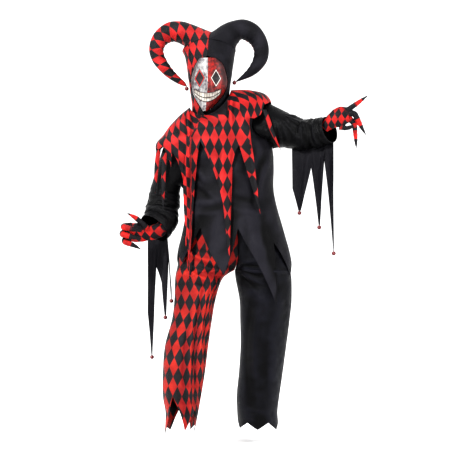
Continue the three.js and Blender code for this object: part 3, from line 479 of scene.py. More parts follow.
def cloth(name, grid, uv, finish, nodes, thick=CLOTH, outward=1, closed=False,
          folds=None, dark=None):
    """A closed wall of cloth: the grid, the same grid moved in by the thickness along its
    normals, and a rim round each open edge. The height of its folds, in millimetres, is
    kept on the mesh for the painted shade that darkens the valleys and leaves the ridges
    lighter. dark marks where the cloth is plain black."""
    n, m = grid.shape[:2]
    across = n - 1 if closed else n
    outer = grid[:across]
    out = normals(outer, closed) * outward
    walls[name] = (outer, out)
    inner = outer - out * thick
    count = n * m
    ids = np.arange(count).reshape(n, m)
    a, b, c, d = ids[:-1, :-1], ids[1:, :-1], ids[1:, 1:], ids[:-1, 1:]
    front = np.stack([a, b, c, d], -1).reshape(-1, 4)
    back = np.stack([a, d, c, b], -1).reshape(-1, 4) + count

    def rim(first, second):
        """Faces between one open edge of the outer grid and the same edge of the inner."""
        return np.stack([second, first, first + count, second + count], -1)
    rims = [rim(ids[:-1, 0], ids[1:, 0]), rim(ids[1:, -1], ids[:-1, -1])]
    if not closed:
        rims += [rim(ids[0, 1:], ids[0, :-1]), rim(ids[-1, :-1], ids[-1, 1:])]
    corners = np.concatenate([front, back] + rims)
    if outward < 0:
        corners = corners[:, ::-1]
    column, row = np.divmod(np.arange(count), m)
    real = (column % across) * m + row
    real = np.concatenate([real, real + across * m])
    points = np.concatenate([outer.reshape(-1, 3), inner.reshape(-1, 3)])
    both = np.concatenate([uv.reshape(-1, 2)] * 2)
    body = piece(name, points, real[corners], finish, nodes, both, corners, len(front) * 2)
    for label, values in (("fold", folds), ("dark", dark)):
        if values is not None:
            values = np.broadcast_to(values[:across], (across, m))
            note(body, label, np.concatenate([values.ravel()] * 2))
    return body


def tube_faces(n, m, first=0):
    """Faces of a closed tube: n columns run round it, m rows along it, and one face closes
    each end."""
    ids = np.arange(n * m).reshape(n, m) + first
    ahead = np.roll(ids, -1, 0)
    sides = np.stack([ids[:, :-1], ahead[:, :-1], ahead[:, 1:], ids[:, 1:]], -1).reshape(-1, 4)
    return sides, [list(ids[::-1, 0]), list(ids[:, -1])]


def tube(name, grid, uv, finish, nodes):
    """A closed tube whose faces are turned round where the volume that they enclose, the
    sum of the triple products of their corners, comes out negative."""
    sides, ends = tube_faces(*grid.shape[:2])
    points = grid.reshape(-1, 3)
    first, second, third = (points[sides[:, k]] for k in range(3))
    faces = [list(f) for f in sides] + ends
    if (first * np.cross(second, third)).sum() < 0:
        faces = [f[::-1] for f in faces]
    return piece(name, points, faces, finish, nodes, uv.reshape(-1, 2))


# Finishes


# Height of a fold, in millimetres, at which the painted shade is darkest in its valley and gone on its ridge
FOLD_RANGE = 4.5


class Flow:
    """A number on its way through a material; sums, products and the rest add nodes."""

    def __init__(self, finish, socket):
        """Holds the material and the socket that gives the number."""
        self.finish, self.socket = finish, socket

    def math(self, operation, *others, first=None):
        """A Math node on this number, or on first, and the others."""
        values = [self if first is None else first, *others]
        return self.finish.node("ShaderNodeMath", {"operation": operation}, dict(enumerate(values)))

    def __add__(self, other):
        """Sum of this number and the other."""
        return self.math("ADD", other)

    __radd__ = __add__

    def __sub__(self, other):
        """Difference of this number and the other."""
        return self.math("SUBTRACT", other)

    def __rsub__(self, other):
        """The other number less this one."""
        return self.math("SUBTRACT", self, first=other)

    def __mul__(self, other):
        """Product of this number and the other."""
        return self.math("MULTIPLY", other)

    __rmul__ = __mul__

    def __truediv__(self, other):
        """Quotient of this number and the other."""
        return self.math("DIVIDE", other)

    def __abs__(self):
        """The number without its sign."""
        return self.math("ABSOLUTE")

    def sin(self):
        """Sine of the number in radians."""
        return self.math("SINE")

    def most(self, other):
        """The larger of two numbers."""
        return self.math("MAXIMUM", other)

    def clamp(self):
        """Held between 0 and 1."""
        return self.finish.node("ShaderNodeClamp", {}, {0: self, 1: 0.0, 2: 1.0})

    def rise(self, low, high):
        """0 below low, 1 above high and a smooth step between."""
        return self.finish.node("ShaderNodeMapRange", {"interpolation_type": "SMOOTHSTEP"},
                                {0: self, 1: low, 2: high, 3: 0.0, 4: 1.0})


class Finish:
    """A material whose nodes are added by one method."""

    def __init__(self, name, **constants):
        """Makes the material and sets the shader's plain values."""
        self.material = bpy.data.materials.new(name)
        self.material.use_nodes = True
        self.tree = self.material.node_tree
        self.shader = self.tree.nodes["Principled BSDF"]
        for socket, value in constants.items():
            self.shader.inputs[socket.replace("_", " ")].default_value = value

    def node(self, kind, settings=None, values=None, output=0):
        """A node of any type: its settings first, then the values or links of its sockets."""
        node = self.tree.nodes.new(kind)
        for key, value in (settings or {}).items():
            setattr(node, key, value)
        for key, value in (values or {}).items():
            if isinstance(value, Flow):
                self.tree.links.new(value.socket, node.inputs[key])
            else:
                node.inputs[key].default_value = value
        return Flow(self, node.outputs[output])

    def place(self, source="Object"):
        """X, Y and Z of the Object coordinates, or U and V of the cloth, in metres."""
        if source == "UV":
            vector = self.node("ShaderNodeUVMap", {"uv_map": "cloth"})
        else:
            vector = self.node("ShaderNodeTexCoord", {}, {}, "Object")
        parts = [self.node("ShaderNodeSeparateXYZ", {}, {0: vector}, k) for k in range(3)]
        return vector, parts

    def mark(self, label):
        """The number that each point of the mesh keeps under a label."""
        return self.node("ShaderNodeAttribute", {"attribute_name": label}, {}, "Fac")

    def noise(self, vector, scale, detail=3.0, rough=0.55):
        """Soft noise about 0.5, with as many waves a metre as the scale says."""
        values = {"Vector": vector, "Scale": scale, "Detail": detail, "Roughness": rough}
        return self.node("ShaderNodeTexNoise", {}, values)

    def blend(self, share, first, second):
        """The first colour where the share is 0, the second where it is 1."""
        return self.node("ShaderNodeMix", {"data_type": "RGBA"}, {0: share, 6: first, 7: second}, 2)

    def set(self, socket, value):
        """Links a value to a socket of the shader."""
        self.tree.links.new(value.socket, self.shader.inputs[socket])

    def fold_shade(self):
        """Share for the painted fold shade: 0 in the deepest valley of the cloth, 1 on its highest ridge."""
        return self.mark("fold").rise(-FOLD_RANGE, FOLD_RANGE)

    def bump(self, height, distance):
        """Relief from a height of 0 to 1, as deep as the distance in metres."""
        values = {"Strength": 1.0, "Distance": distance, "Height": height}
        self.set("Normal", self.node("ShaderNodeBump", {}, values))


def colour(r, g, b):
    """A screen colour, 0 to 255, as the linear one that nodes take."""
    c = np.array([r, g, b]) / 255
    linear = np.where(c <= 0.04045, c / 12.92, ((c + 0.055) / 1.055) ** 2.4)
    return (*map(float, linear), 1.0)


# Distance between the threads of the cloth, in metres
THREAD_PITCH = 0.0011


def weave(u, v):
    """Height of a fine weave: product of two sine waves along the cloth."""
    turns = TAU / THREAD_PITCH
    return (u * turns).sin() * (v * turns).sin()


def dark_cloth(name, tone, rough, shine=0.12):
    """Black cloth: a tone that wanders by a few steps, with painted shade in the valleys of
    its folds, over soft waves, small waves and the weave."""
    finish = Finish(name, Sheen_Weight=0.01, Sheen_Roughness=0.4, Specular_IOR_Level=shine)
    vector, (u, v, _) = finish.place("UV")
    soft = finish.noise(vector, 14.0)
    fine = finish.noise(vector, 260.0, 2.0)
    base = finish.blend(soft.rise(0.3, 0.75), colour(*tone), colour(*[t + 7 for t in tone]))
    # Painted shade: the valleys of the folds fall to three tenths of the tone
    base = finish.blend(finish.fold_shade(), colour(*[t * 0.3 for t in tone]), base)
    finish.set("Base Color", base)
    finish.set("Roughness", (soft * 0.18 + fine * 0.1 + (rough - 0.12)).clamp())
    finish.bump(soft * 0.9 + finish.noise(vector, 55.0) * 0.3 + weave(u, v) * 0.045, 0.0035)
    return finish.material


# Width and height of the diamonds in metres; those of the trousers are a little smaller
DIAMOND_WIDE, DIAMOND_HIGH = 0.042, 0.085
TROUSER_WIDE, TROUSER_HIGH = 0.92 * DIAMOND_WIDE, 0.93 * DIAMOND_HIGH


def diamond_cloth(name, wide, high, low_red, high_red):
    """Two-colour diamonds: the sign of sin(pi p) sin(pi q), where p and q are u over the
    width plus and minus v over the height."""
    finish = Finish(name, Sheen_Weight=0.04, Sheen_Roughness=0.4, Specular_IOR_Level=0.2)
    vector, (u, v, _) = finish.place("UV")
    wander = finish.noise(vector, 30.0, 2.0) - 0.5
    p = (u + wander * 0.002) / wide
    q = (v + wander * 0.002) / high
    mask = (((p + q) * np.pi).sin() * ((p - q) * np.pi).sin() * 14.0 + 0.5).clamp()
    mask = mask.most(finish.mark("dark"))
    soft = finish.noise(vector, 16.0)
    red = finish.blend(soft.rise(0.3, 0.7), colour(*low_red), colour(*high_red))
    black = finish.blend(soft.rise(0.35, 0.75), colour(22, 20, 24), colour(34, 32, 36))
    cloth_tone = finish.blend(mask, red, black)
    # Painted shade: dark red and near black in the valleys of the folds, full tone on the ridges
    deep = finish.blend(mask, colour(112, 12, 14), colour(6, 6, 8))
    finish.set("Base Color", finish.blend(finish.fold_shade(), deep, cloth_tone))
    finish.set("Roughness", (soft * 0.2 + 0.42).clamp())
    finish.bump(soft * 0.8 + finish.noise(vector, 60.0) * 0.3 + weave(u, v) * 0.045, 0.003)
    return finish.material


black_plain = dark_cloth("black tunic cloth", (29, 28, 34), 0.4)
black_satin = dark_cloth("black sleeve satin", (7, 7, 10), 0.34, 0.15)
black_trousers = dark_cloth("black trouser cloth", (20, 20, 27), 0.42)
black_hood = dark_cloth("black hood cloth", (33, 32, 38), 0.5)
diamonds = diamond_cloth("diamond cloth", DIAMOND_WIDE, DIAMOND_HIGH, (156, 32, 32), (178, 44, 43))
trouser_diamonds = diamond_cloth("trouser diamond cloth", TROUSER_WIDE, TROUSER_HIGH,
                                 (132, 27, 20), (160, 40, 30))

# Tunic and collar


def places(rows, key, step):
    """Places across a panel with every notch and point on a column of its own."""
    knots = rows[key]
    parts = [np.linspace(a, b, max(2, int(np.ceil(abs(b - a) / step)) + 1))[:-1]
             for a, b in zip(knots[:-1], knots[1:])]
    return np.concatenate(parts + [knots[-1:]])


def armhole(s):
    """Angle between the side of the body and the armhole's edge: a power of a half sine
    from the armhole's top row to its foot row."""
    share = np.clip((s - ARMHOLE_TOP) / (ARMHOLE_FOOT - ARMHOLE_TOP), 0, 1)
    return ARMHOLE_BULGE * np.maximum(np.sin(np.pi * share), 0) ** 0.8


def hanging_angle(rings, angle, yoke, s, drift):
    """Angle that keeps a front column plumb below its place on the yoke."""
    start, ring = between(rings, yoke), between(rings, s)
    x = start["x"] + start["wide"] * np.cos(start["roll"] * DEGREE) * np.cos(angle) + drift
    share = np.clip((x - ring["x"]) / (ring["wide"] * np.cos(ring["roll"] * DEGREE)), -0.98, 0.98)
    plumb = np.where(angle > np.pi, TAU - np.arccos(share), np.arccos(share))
    weight = np.clip((np.abs(np.sin(angle)) - 0.35) / 0.35, 0, 1)
    return angle + (plumb - angle) * weight


def body_grid(rings, hem, step, upper, lower, yoke, plumb=False, armholes=False):
    """Grid of a body panel: rows of the rings down to the yoke, then evenly to the
    hem. Gives the points, and the angle and ring row of each."""
    columns = places(hem, "angle", step)
    angle = columns * DEGREE
    drift = np.interp(columns, hem["angle"], hem["drift"])
    foot = np.interp(columns, hem["angle"], hem["z"])
    start = yoke(angle)

    def angle_at(s, f):
        """Angle of each column at ring row s, with a share f of its drift."""
        return hanging_angle(rings, angle, start, s, drift * f) if plumb else angle
    end = row_at_height(rings, lambda s: angle_at(s, 1), foot)
    s_rows = [start * k / upper for k in range(upper + 1)]
    angles = [angle] * (upper + 1)
    for k in range(1, lower + 1):
        s_rows.append(start + (end - start) * k / lower)
        angles.append(angle_at(s_rows[-1], k / lower))
    s, turned = np.stack(s_rows, 1), np.stack(angles, 1)
    if armholes:
        middle, half = (angle[0] + angle[-1]) / 2, abs(angle[-1] - angle[0]) / 2
        side = np.where(turned > middle, -1, 1)
        turned = turned + side * armhole(s) * (np.abs(turned - middle) / half) ** 2
    return ring_point(rings, turned, s), turned, s


def body_uv(grid, row, centre):
    """Cloth coordinates: across is the length along each row from the column nearest the
    centre, kept below the given row. Down is less the height at that row, plus the length
    along each column below it, and above it a quarter of that length and three quarters
    of the fall in height."""
    across = run(grid, 0)
    middle = np.argmin(np.abs(grid[:, row, 0] - centre))
    across = across - across[middle]
    lower = np.arange(grid.shape[1]) > row
    across = np.where(lower[None], across[:, row:row + 1], across)
    down = run(grid, 1)
    down = down - down[:, row:row + 1]
    fall = grid[:, row:row + 1, 2] - grid[..., 2]
    down = np.where(lower[None], down, 0.25 * down + 0.75 * fall) - grid[:, row:row + 1, 2]
    return np.stack([across, down], -1)


def seam_pinch(grid, depth, width, ends=(0, -1)):
    """Depth of the valley beside a sewn edge, from the distance to the end columns."""
    across = run(grid, 0)
    total = 0
    for end in ends:
        total = total + hill(across - across[end], width)
    return -depth * total


def move(grid, outward, depth):
    """The grid plus its normals times the depth, turned round where outward is -1."""
    return grid + normals(grid) * outward * np.asarray(depth)[..., None]


def body_fold(angle, s):
    """Soft upright folds: a sine of the angle that grows down the body and fades at its
    sides."""
    grow = np.clip((s - 4.5) / 3, 0, 1)
    return 4 * grow * np.abs(np.sin(angle)) * np.sin(9 * angle + 0.7 * s)


# Folds in the front view: x and z of both ends, width and depth
TUNIC_CREASES = [
    (-112, -150, -10, -300, 13, 4.5), (-118, -178, 0, -352, 12, -4), (-122, -205, 30, -382, 13, 4),
    (-120, -232, 60, -420, 14, -3.5), (250, -140, 180, -300, 14, 4), (268, -170, 205, -360, 13, -3.5),
    (272, -205, 215, -420, 15, 4), (-90, -395, 90, -372, 11, 3.5), (-60, -420, 120, -402, 10, -3),
    (-70, -446, 60, -436, 10, 3), (60, -350, 240, -392, 12, -3), (90, -420, 270, -440, 12, 3),
    (200, -430, 260, -800, 22, 5), (240, -430, 330, -760, 18, -4.5), (150, -440, 170, -700, 20, 4),
    (60, -440, 20, -690, 20, 4.5), (-20, -430, -90, -640, 18, -4), (110, -430, 105, -600, 18, -4),
]


# Middle of the tunic and of the collar, and ring row of the tunic's yoke
TUNIC_MIDDLE, COLLAR_MIDDLE = 100, 50
YOKE_ROW = 5.6


def mirrored(grid, middle):
    """The grid with twice the middle less x for its x, so that a back takes the front's
    folds."""
    return grid * [-1, 1, 1] + [2 * middle, 0, 0]


def tunic_yoke(angle):
    """Ring row of the tunic's yoke, the same at every angle."""
    return np.full_like(angle, YOKE_ROW)


def tunic_panel(name, hem, front, step, upper, lower, nodes):
    """Front or back of the tunic: its rings, then upright folds, creases, rumples and sines
    round the waist, each added along the normals."""
    grid, turned, s = body_grid(TUNIC, hem, step, upper, lower, tunic_yoke, armholes=True)
    uv = body_uv(grid, upper, TUNIC_MIDDLE)
    grid = move(grid, 1, body_fold(turned, s))
    view = grid if front else mirrored(grid, TUNIC_MIDDLE)
    fade = smooth(0.0, 0.25, np.abs(np.sin(turned)))
    depth = (1.3 * crease(view, TUNIC_CREASES) + 1.3 * rumple(grid, 3 + front, 85)) * fade
    waist = smooth(-200, -420, grid[..., 2]) * smooth(-620, -420, grid[..., 2])
    depth += 1.6 * np.sin(grid[..., 2] / 23 + 3 * turned) * fade * waist
    depth += seam_pinch(grid, 1.5, 7)
    folds = depth + body_fold(turned, s)
    grid = move(grid, 1, depth)
    grid[..., 1] += -HALF_GAP if front else HALF_GAP
    return cloth(name, grid, uv, black_plain, nodes, folds=folds)


tunic_panel("tunic_front_cloth", TUNIC_FRONT_HEM, True, 1.5, 96, 64, ["tunic_front"])
tunic_panel("tunic_back_cloth", TUNIC_BACK_HEM, False, 2.0, 72, 48, ["tunic_back"])

# Folds of the collar, of which the first six are the front's alone
COLLAR_CREASES = [
    (105, 88, 103, -60, 7, 6), (96, 80, 94, -40, 6, -5), (116, 70, 116, -40, 7, -4),
    (-82, 70, -84, -110, 7, 6), (-92, 60, -94, -120, 6, -4), (-72, 70, -70, -150, 6, -4),
    (-84, -130, -86, -640, 6, 8), (-98, -200, -98, -560, 5, -5), (-72, -170, -78, -470, 5, -4),
    (70, -150, 92, -700, 9, 4), (52, -150, 84, -560, 7, -3), (205, -90, 238, -430, 8, 4),
    (-190, -10, -150, -140, 10, 3.5), (-170, 10, -120, -110, 9, -3), (180, 30, 150, -90, 10, 3),
]

# Turn of the print left of the collar's deep pleat, and the point that it turns about
BIAS = -26.6 * DEGREE
BIAS_POINT = (-150, 90)
# Middle of the collar's print, and how far down the print is carried
PRINT_MIDDLE, PRINT_DROP = 65, 102.7


def collar_yoke(angle):
    """Ring row of the collar's yoke: higher at the sides by the sine of the angle."""
    return 1.9 + 0.9 * np.abs(np.sin(angle))


def on_bias(uv, share):
    """Cloth coordinates turned about the bias point by a share of the bias."""
    turn = BIAS * share
    over, down = uv[..., 0] - BIAS_POINT[0], uv[..., 1] - BIAS_POINT[1]
    return np.stack([over * np.cos(turn) - down * np.sin(turn) + BIAS_POINT[0],
                     over * np.sin(turn) + down * np.cos(turn) + BIAS_POINT[1]], -1)


def collar_panel(name, hem, front, step, upper, lower, nodes):
    """Front or back of the collar: its rings, then creases and rumples along the normals,
    lifted off the tunic. The front is turned on its bias left of the pleat and has a
    black area right of the neck's middle."""
    grid, turned, _ = body_grid(COLLAR, hem, step, upper, lower, collar_yoke, plumb=front)
    uv = body_uv(grid, upper, PRINT_MIDDLE)
    uv[..., 1] += PRINT_DROP
    if front:
        uv = on_bias(uv, smooth(-76, -88, grid[:, upper:upper + 1, 0]))
    bib = smooth(-8, -3, grid[..., 2]) * smooth(88, 85, grid[..., 0]) * smooth(4, 8, grid[..., 0]) * front
    view = grid if front else mirrored(grid, COLLAR_MIDDLE)
    fade = smooth(0, 0.3, np.abs(np.sin(turned)))
    creases = COLLAR_CREASES if front else COLLAR_CREASES[6:]
    depth = (1.25 * crease(view, creases) + 1.1 * rumple(grid, 7 + front, 80)) * fade
    grid = move(grid, 1, depth)
    grid = grid + [0, -HALF_GAP if front else HALF_GAP, COLLAR_LIFT]
    return cloth(name, grid, uv, diamonds, nodes, COLLAR_CLOTH, folds=depth,
                 dark=bib)


collar_panel("collar_front_cloth", COLLAR_FRONT_HEM, True, 0.9, 34, 76, ["collar_front"])
collar_panel("collar_back_cloth", COLLAR_BACK_HEM, False, 1.8, 24, 50, ["collar_back"])

for number, path in enumerate(COLLAR_POINTS, 1):
    u, v = np.meshgrid(np.linspace(-1, 1, 13), np.linspace(0, len(path["x"]) - 1, 61), indexing="ij")
    row = between(path, v)
    curl = 2 * u * u + 2.5 * np.sin(2.2 * v) * (v > 0.2)
    grid = point(row["x"] + row["half"] * u, row["y"] + curl, row["z"])
    uv = np.stack([grid[..., 0] - PRINT_MIDDLE, PRINT_DROP - grid[..., 2]], -1)
    cloth(f"collar_point_{number}_cloth", grid, uv, diamonds,
          [f"collar_point_{number}"], COLLAR_CLOTH, -1)

# Sleeves and their tails


# Cloth round a sleeve, and the point at the shoulder round which its folds fan out
SLEEVE_ROUND = 440
SHOULDER = (317, 17)


def sleeve_frame(rows, s, side):
    """Centre and sizes at row s, and two directions: up is the path's own turned a quarter
    in the front view, and front is their cross product."""
    row, ahead, behind = between(rows, s), between(rows, s + 0.25), between(rows, s - 0.25)
    along = unit(point(ahead["x"] - behind["x"], ahead["y"] - behind["y"], ahead["z"] - behind["z"]))
    up = unit(point(-along[..., 2], np.zeros_like(along[..., 0]), along[..., 0]) * side)
    return point(row["x"], row["y"], row["z"]), row, up, np.cross(along, up) * side


def section(rows, side, turn, s):
    """Oval section: centre + wide cos a upwards + deep sin a forwards."""
    centre, row, up, front = sleeve_frame(rows, s, side)
    a = turn * TAU
    upward = up * (row["wide"] * np.cos(a))[..., None]
    return centre + upward + front * (row["deep"] * np.sin(a))[..., None]


def armhole_frame(side, turn):
    """Point on the armhole's edge, the body's normal there and the direction into the hole.
    The edge runs from its top at turn 0 by the front to its foot at turn one half."""
    share = 1 - np.abs(2 * turn - 1)
    level = ARMHOLE_TOP + (ARMHOLE_FOOT - ARMHOLE_TOP) * share
    face = np.where(turn < 0.5, 1, -1)
    cut = armhole(level) * face
    angle = cut if side > 0 else np.pi - cut
    step = 0.02
    around = unit(ring_point(TUNIC, angle + step, level) - ring_point(TUNIC, angle - step, level))
    down = unit(ring_point(TUNIC, angle, level + step) - ring_point(TUNIC, angle, level - step))
    normal = unit(np.cross(around, down))
    sideways = around * (-side * face * np.sin(np.pi * share))[..., None]
    inward = unit(sideways + down * np.cos(np.pi * share)[..., None])
    return ring_point(TUNIC, angle, level), normal, inward


def sleeve_point(rows, side, turn, s):
    """Row 0 is the armhole's edge, 1 the first section; straight between the two."""
    turn, s = np.broadcast_arrays(np.asarray(turn, float), np.asarray(s, float))
    edge, normal, inward = armhole_frame(side, turn)
    start = edge + inward * 1.0 + normal * 0.5
    f = np.clip(s, 0, 1)[..., None]
    return start * (1 - f) + section(rows, side, turn, np.maximum(s - 1, 0)) * f


def raised_fold(points, u, s):
    """Folds of the raised sleeve: sines along and round it that fade at both ends, and a
    fan of folds round the shoulder."""
    grow = np.sin(np.pi * np.clip((s - 0.8) / 4.2, 0, 1))
    depth = 3.5 * grow * np.sin(5.2 * s + 5 * u)
    over, up = points[..., 0] - SHOULDER[0], points[..., 2] - SHOULDER[1]
    reach = np.hypot(over, up)
    fan = np.sin(23 * np.arctan2(up, over) + 0.8 * np.sin(reach / 30))
    depth = depth + 2.6 * fan * smooth(20, 60, reach) * smooth(190, 130, reach) * np.clip(s - 0.2, 0, 1)
    small = 1.8 * np.sin(11 * s - 7 * u + 1.2 * np.sin(TAU * u)) + 1.1 * np.sin(19 * s + 9 * u)
    depth = depth + grow * small
    return points + point(0 * u, -np.sin(TAU * u), np.cos(TAU * u)) * depth[..., None]


def lowered_fold(points, u, s):
    """Folds of the lowered sleeve: sines along and round it that fade at both ends."""
    grow = np.sin(np.pi * np.clip((s - 0.8) / 4.2, 0, 1))
    depth = 3 * grow * np.sin(4.4 * s - 4 * u)
    small = 2.0 * np.sin(9.5 * s + 6 * u + 1.4 * np.sin(TAU * u)) + 1.2 * np.sin(17 * s - 9 * u)
    depth = depth + grow * small
    return points + point(-np.cos(TAU * u), -np.sin(TAU * u), 0 * u) * depth[..., None]


def sleeve(name, rows, side, fold, nodes, finish):
    """A sleeve as a tube with its folds. A fold's height is its move along the direction
    away from the tube's middle."""
    u, s = np.meshgrid(np.linspace(0, 1, 109), np.linspace(0, 5, 111), indexing="ij")
    plain = sleeve_point(rows, side, u, s)
    grid = fold(plain, u, s)
    out = plain - plain[:-1].mean(0)
    folds = ((grid - plain) * unit(out)).sum(-1)
    around = u * SLEEVE_ROUND
    uv = np.stack([around, run(grid[:1], 1)[0][None] + 0 * around], -1)
    return cloth(name, grid, uv, finish, nodes, outward=side, closed=True, folds=folds)


sleeve("sleeve_raised_cloth", RAISED_SLEEVE, 1, raised_fold, ["sleeve_raised"], black_satin)
sleeve("sleeve_lowered_cloth", LOWERED_SLEEVE, -1, lowered_fold, ["sleeve_lowered"], black_satin)


def blunt(foot, tips, half):
    """The foot's line with a flat end at each tip, half a width to either side of it."""
    tips = np.array(tips)
    low = np.interp(tips, foot["share"], foot["z"])
    share = np.concatenate([foot["share"], tips - half, tips + half])
    order = np.argsort(share)
    return {**foot, "end_share": share[order], "end_z": np.concatenate([foot["z"], low, low])[order]}


RAISED_FOOT = blunt(RAISED_TAILS, RAISED_TIPS, 0.018)
LOWERED_FOOT = blunt(LOWERED_TAILS, LOWERED_TIPS, 0.03)


def tail_point(rows, side, fold, foot, line, share, v):
    """From a line under the sleeve straight down to the pointed foot, with a sideways
    swing that is a sine across the tails."""
    s = line["first"] + (line["last"] - line["first"]) * share
    turn = line["turn"][0] + (line["turn"][1] - line["turn"][0]) * share
    top = fold(sleeve_point(rows, side, turn, s), turn, s)
    shift = np.interp(share, foot["share"], foot["shift"])
    end = np.interp(share, foot["end_share"], foot["end_z"])
    swing = line["size"] * np.minimum(v * 2.5, 1) * np.sin(line["count"] * share + 1.2 * v)
    ripple = 1.5 * v * np.sin(41 * share + 5 * v)
    z = top[..., 2] + 0.5
    return point(top[..., 0] + shift * v + 0.35 * swing, top[..., 1] + swing + ripple, z + (end - z) * v)


def tails(name, rows, side, fold, foot, line, nodes):
    """The tails of a sleeve as one wall of cloth, with a column at every notch and tip."""
    columns = np.union1d(places(foot, "share", 0.0125).round(5), foot["end_share"].round(5))
    share, v = np.meshgrid(columns, np.linspace(0, 1, 61), indexing="ij")
    grid = tail_point(rows, side, fold, foot, line, share, v)
    uv = np.stack([run(grid[:, :1], 0) + 0 * v, run(grid, 1)], -1)
    return cloth(name, grid, uv, black_plain, nodes, outward=-1)


tails("tails_raised_cloth", RAISED_SLEEVE, 1, raised_fold, RAISED_FOOT, RAISED_LINE, ["tails_raised"])
tails("tails_lowered_cloth", LOWERED_SLEEVE, -1, lowered_fold, LOWERED_FOOT, LOWERED_LINE, ["tails_lowered"])

# Trousers


def leg_point(rows, share, s, face):
    """Quarter to half oval from the outer seam to the inner one."""
    row = between(rows, s, CROTCH_ROW)
    turn = np.clip(row["turn"], 0, 90) * DEGREE
    half = (row["inner"] - row["outer"]) / (1 + np.sin(turn))
    angle = np.pi / 2 - share * (np.pi / 2 + turn)
    x = row["outer"] + half - half * np.sin(angle)
    return point(x, row["y"] - face * row["deep"] * np.cos(angle), row["z"])


def leg_row(rows, z):
    """Row number where a leg has height z, by halving the range."""
    low, high = np.zeros_like(z), np.full_like(z, len(rows["z"]) - 1)
    for _ in range(HALVINGS):
        middle = (low + high) / 2
        above = between(rows, middle, CROTCH_ROW)["z"] > z
        low, high = np.where(above, middle, low), np.where(above, high, middle)
    return low


# Steps in which the length across a leg is added up
ARC_STEPS = 24


def leg_across(rows, share, s, face):
    """Distance from the outer seam along the ring at row s: near the outer seam it is
    measured in the front view, because the cloth is pulled flat there, and past the
    middle along the cloth."""
    total, before = np.zeros_like(s), leg_point(rows, 0 * share, s, face)
    for k in range(1, ARC_STEPS + 1):
        here = leg_point(rows, share * k / ARC_STEPS, s, face)
        step = here - before
        arc = 0.22 + 0.73 * smooth(0.4, 0.8, share * (k - 0.5) / ARC_STEPS)
        total = total + np.linalg.norm(step[..., :2], axis=-1) * arc + np.abs(step[..., 0]) * (1 - arc)
        before = here
    return total


# Where the diamond leg's front is bunched in upright folds: height, place of the folds'
# middle, their half width, and the cloth that they hide
BUNCH = {
    "z": [-1400, -1290, -1224, -1067, -897, -826, -770],
    "x": [-76, -72, -69, -57, -12, 2, 12],
    "half": [16, 14, 13, 16, 32, 34, 30],
    "hidden": [0, 14, 34, 56, 82, 66, 0],
}

# Where the trousers' print starts at the top of the outer seam, and the length of the cloth
# over its drop
PRINT_START = (15, 39.5)
LEG_STRETCH = 1.03
# Columns across and rows down of a front and of a back
FRONT_COUNT, BACK_COUNT = (60, 150), (44, 120)


def bunched(grid):
    """Cloth that the upright folds hide between the outer seam and each point: a smooth
    step across the folds, with a ripple for the single folds."""
    z = grid[..., 2]
    away = (grid[..., 0] - np.interp(z, BUNCH["z"], BUNCH["x"])) / np.interp(z, BUNCH["z"], BUNCH["half"])
    step = 0.5 + 0.5 * np.tanh(away) + 0.07 * np.sin(8 * away) * np.exp(-away ** 2)
    return np.interp(z, BUNCH["z"], BUNCH["hidden"]) * step


def leg_panel(name, rows, hem, face, side, creases):
    """A panel of the trousers: its ovals, then waves, creases and rumples. face is 1 in
    front and -1 behind, and side is 1 for the black leg and -1 for the diamond one."""
    count = FRONT_COUNT if face > 0 else BACK_COUNT
    columns = places(hem, "share", 1 / count[0])
    foot = rows["z"][-1] + np.interp(columns, hem["share"], hem["rise"])
    v = np.linspace(0, 1, count[1] + 1) ** 0.95
    s = leg_row(rows, foot)[:, None] * v[None]
    share = np.broadcast_to(columns[:, None], s.shape)
    grid = leg_point(rows, share, s, face)
    down = (grid[:1, :1, 2] - grid[..., 2]) * LEG_STRETCH
    uv = np.stack([leg_across(rows, share, s, face), down], -1)
    uv = uv + taken_up(grid, creases) * (-side, 1) + PRINT_START
    if side < 0 < face:
        uv[..., 0] += bunched(grid)
    fade = np.sin(np.pi * share)
    upright = np.sin(11 * share + 0.5 * s) * np.clip((s - 4) / 4, 0, 1)
    drag = np.sin(3 * s + 4 * share) * np.exp(-((s - 4.6) / 1.4) ** 2)
    wave = 5 * fade * (upright + 0.8 * drag)
    grid[..., 1] -= face * wave
    outward = side * face
    depth = crease(grid, creases) * smooth(0, 0.15, share) * smooth(1.0, 0.9, share)
    depth += 1.5 * np.sin(7.5 * s + 5 * share) * np.exp(-((s - 4.4) / 1.6) ** 2) * fade
    depth += 1.3 * np.sin(9 * s + 3 * share) * smooth(9.5, 12, s) * fade
    depth += 1.2 * rumple(grid, 11 + side + face, 75) * smooth(0, 0.15, share) * smooth(1.0, 0.85, share)
    depth += seam_pinch(grid, 1.3, 6)
    grid = move(grid, outward, depth)
    grid = grid + [side * HALF_GAP, -face * HALF_GAP, 0]
    finish, slot = (black_trousers, "black_cloth") if side > 0 else (trouser_diamonds, "diamond_cloth")
    return cloth(name + "_cloth", grid, uv, finish, [name], outward=outward,
                 folds=depth + 0.6 * wave)


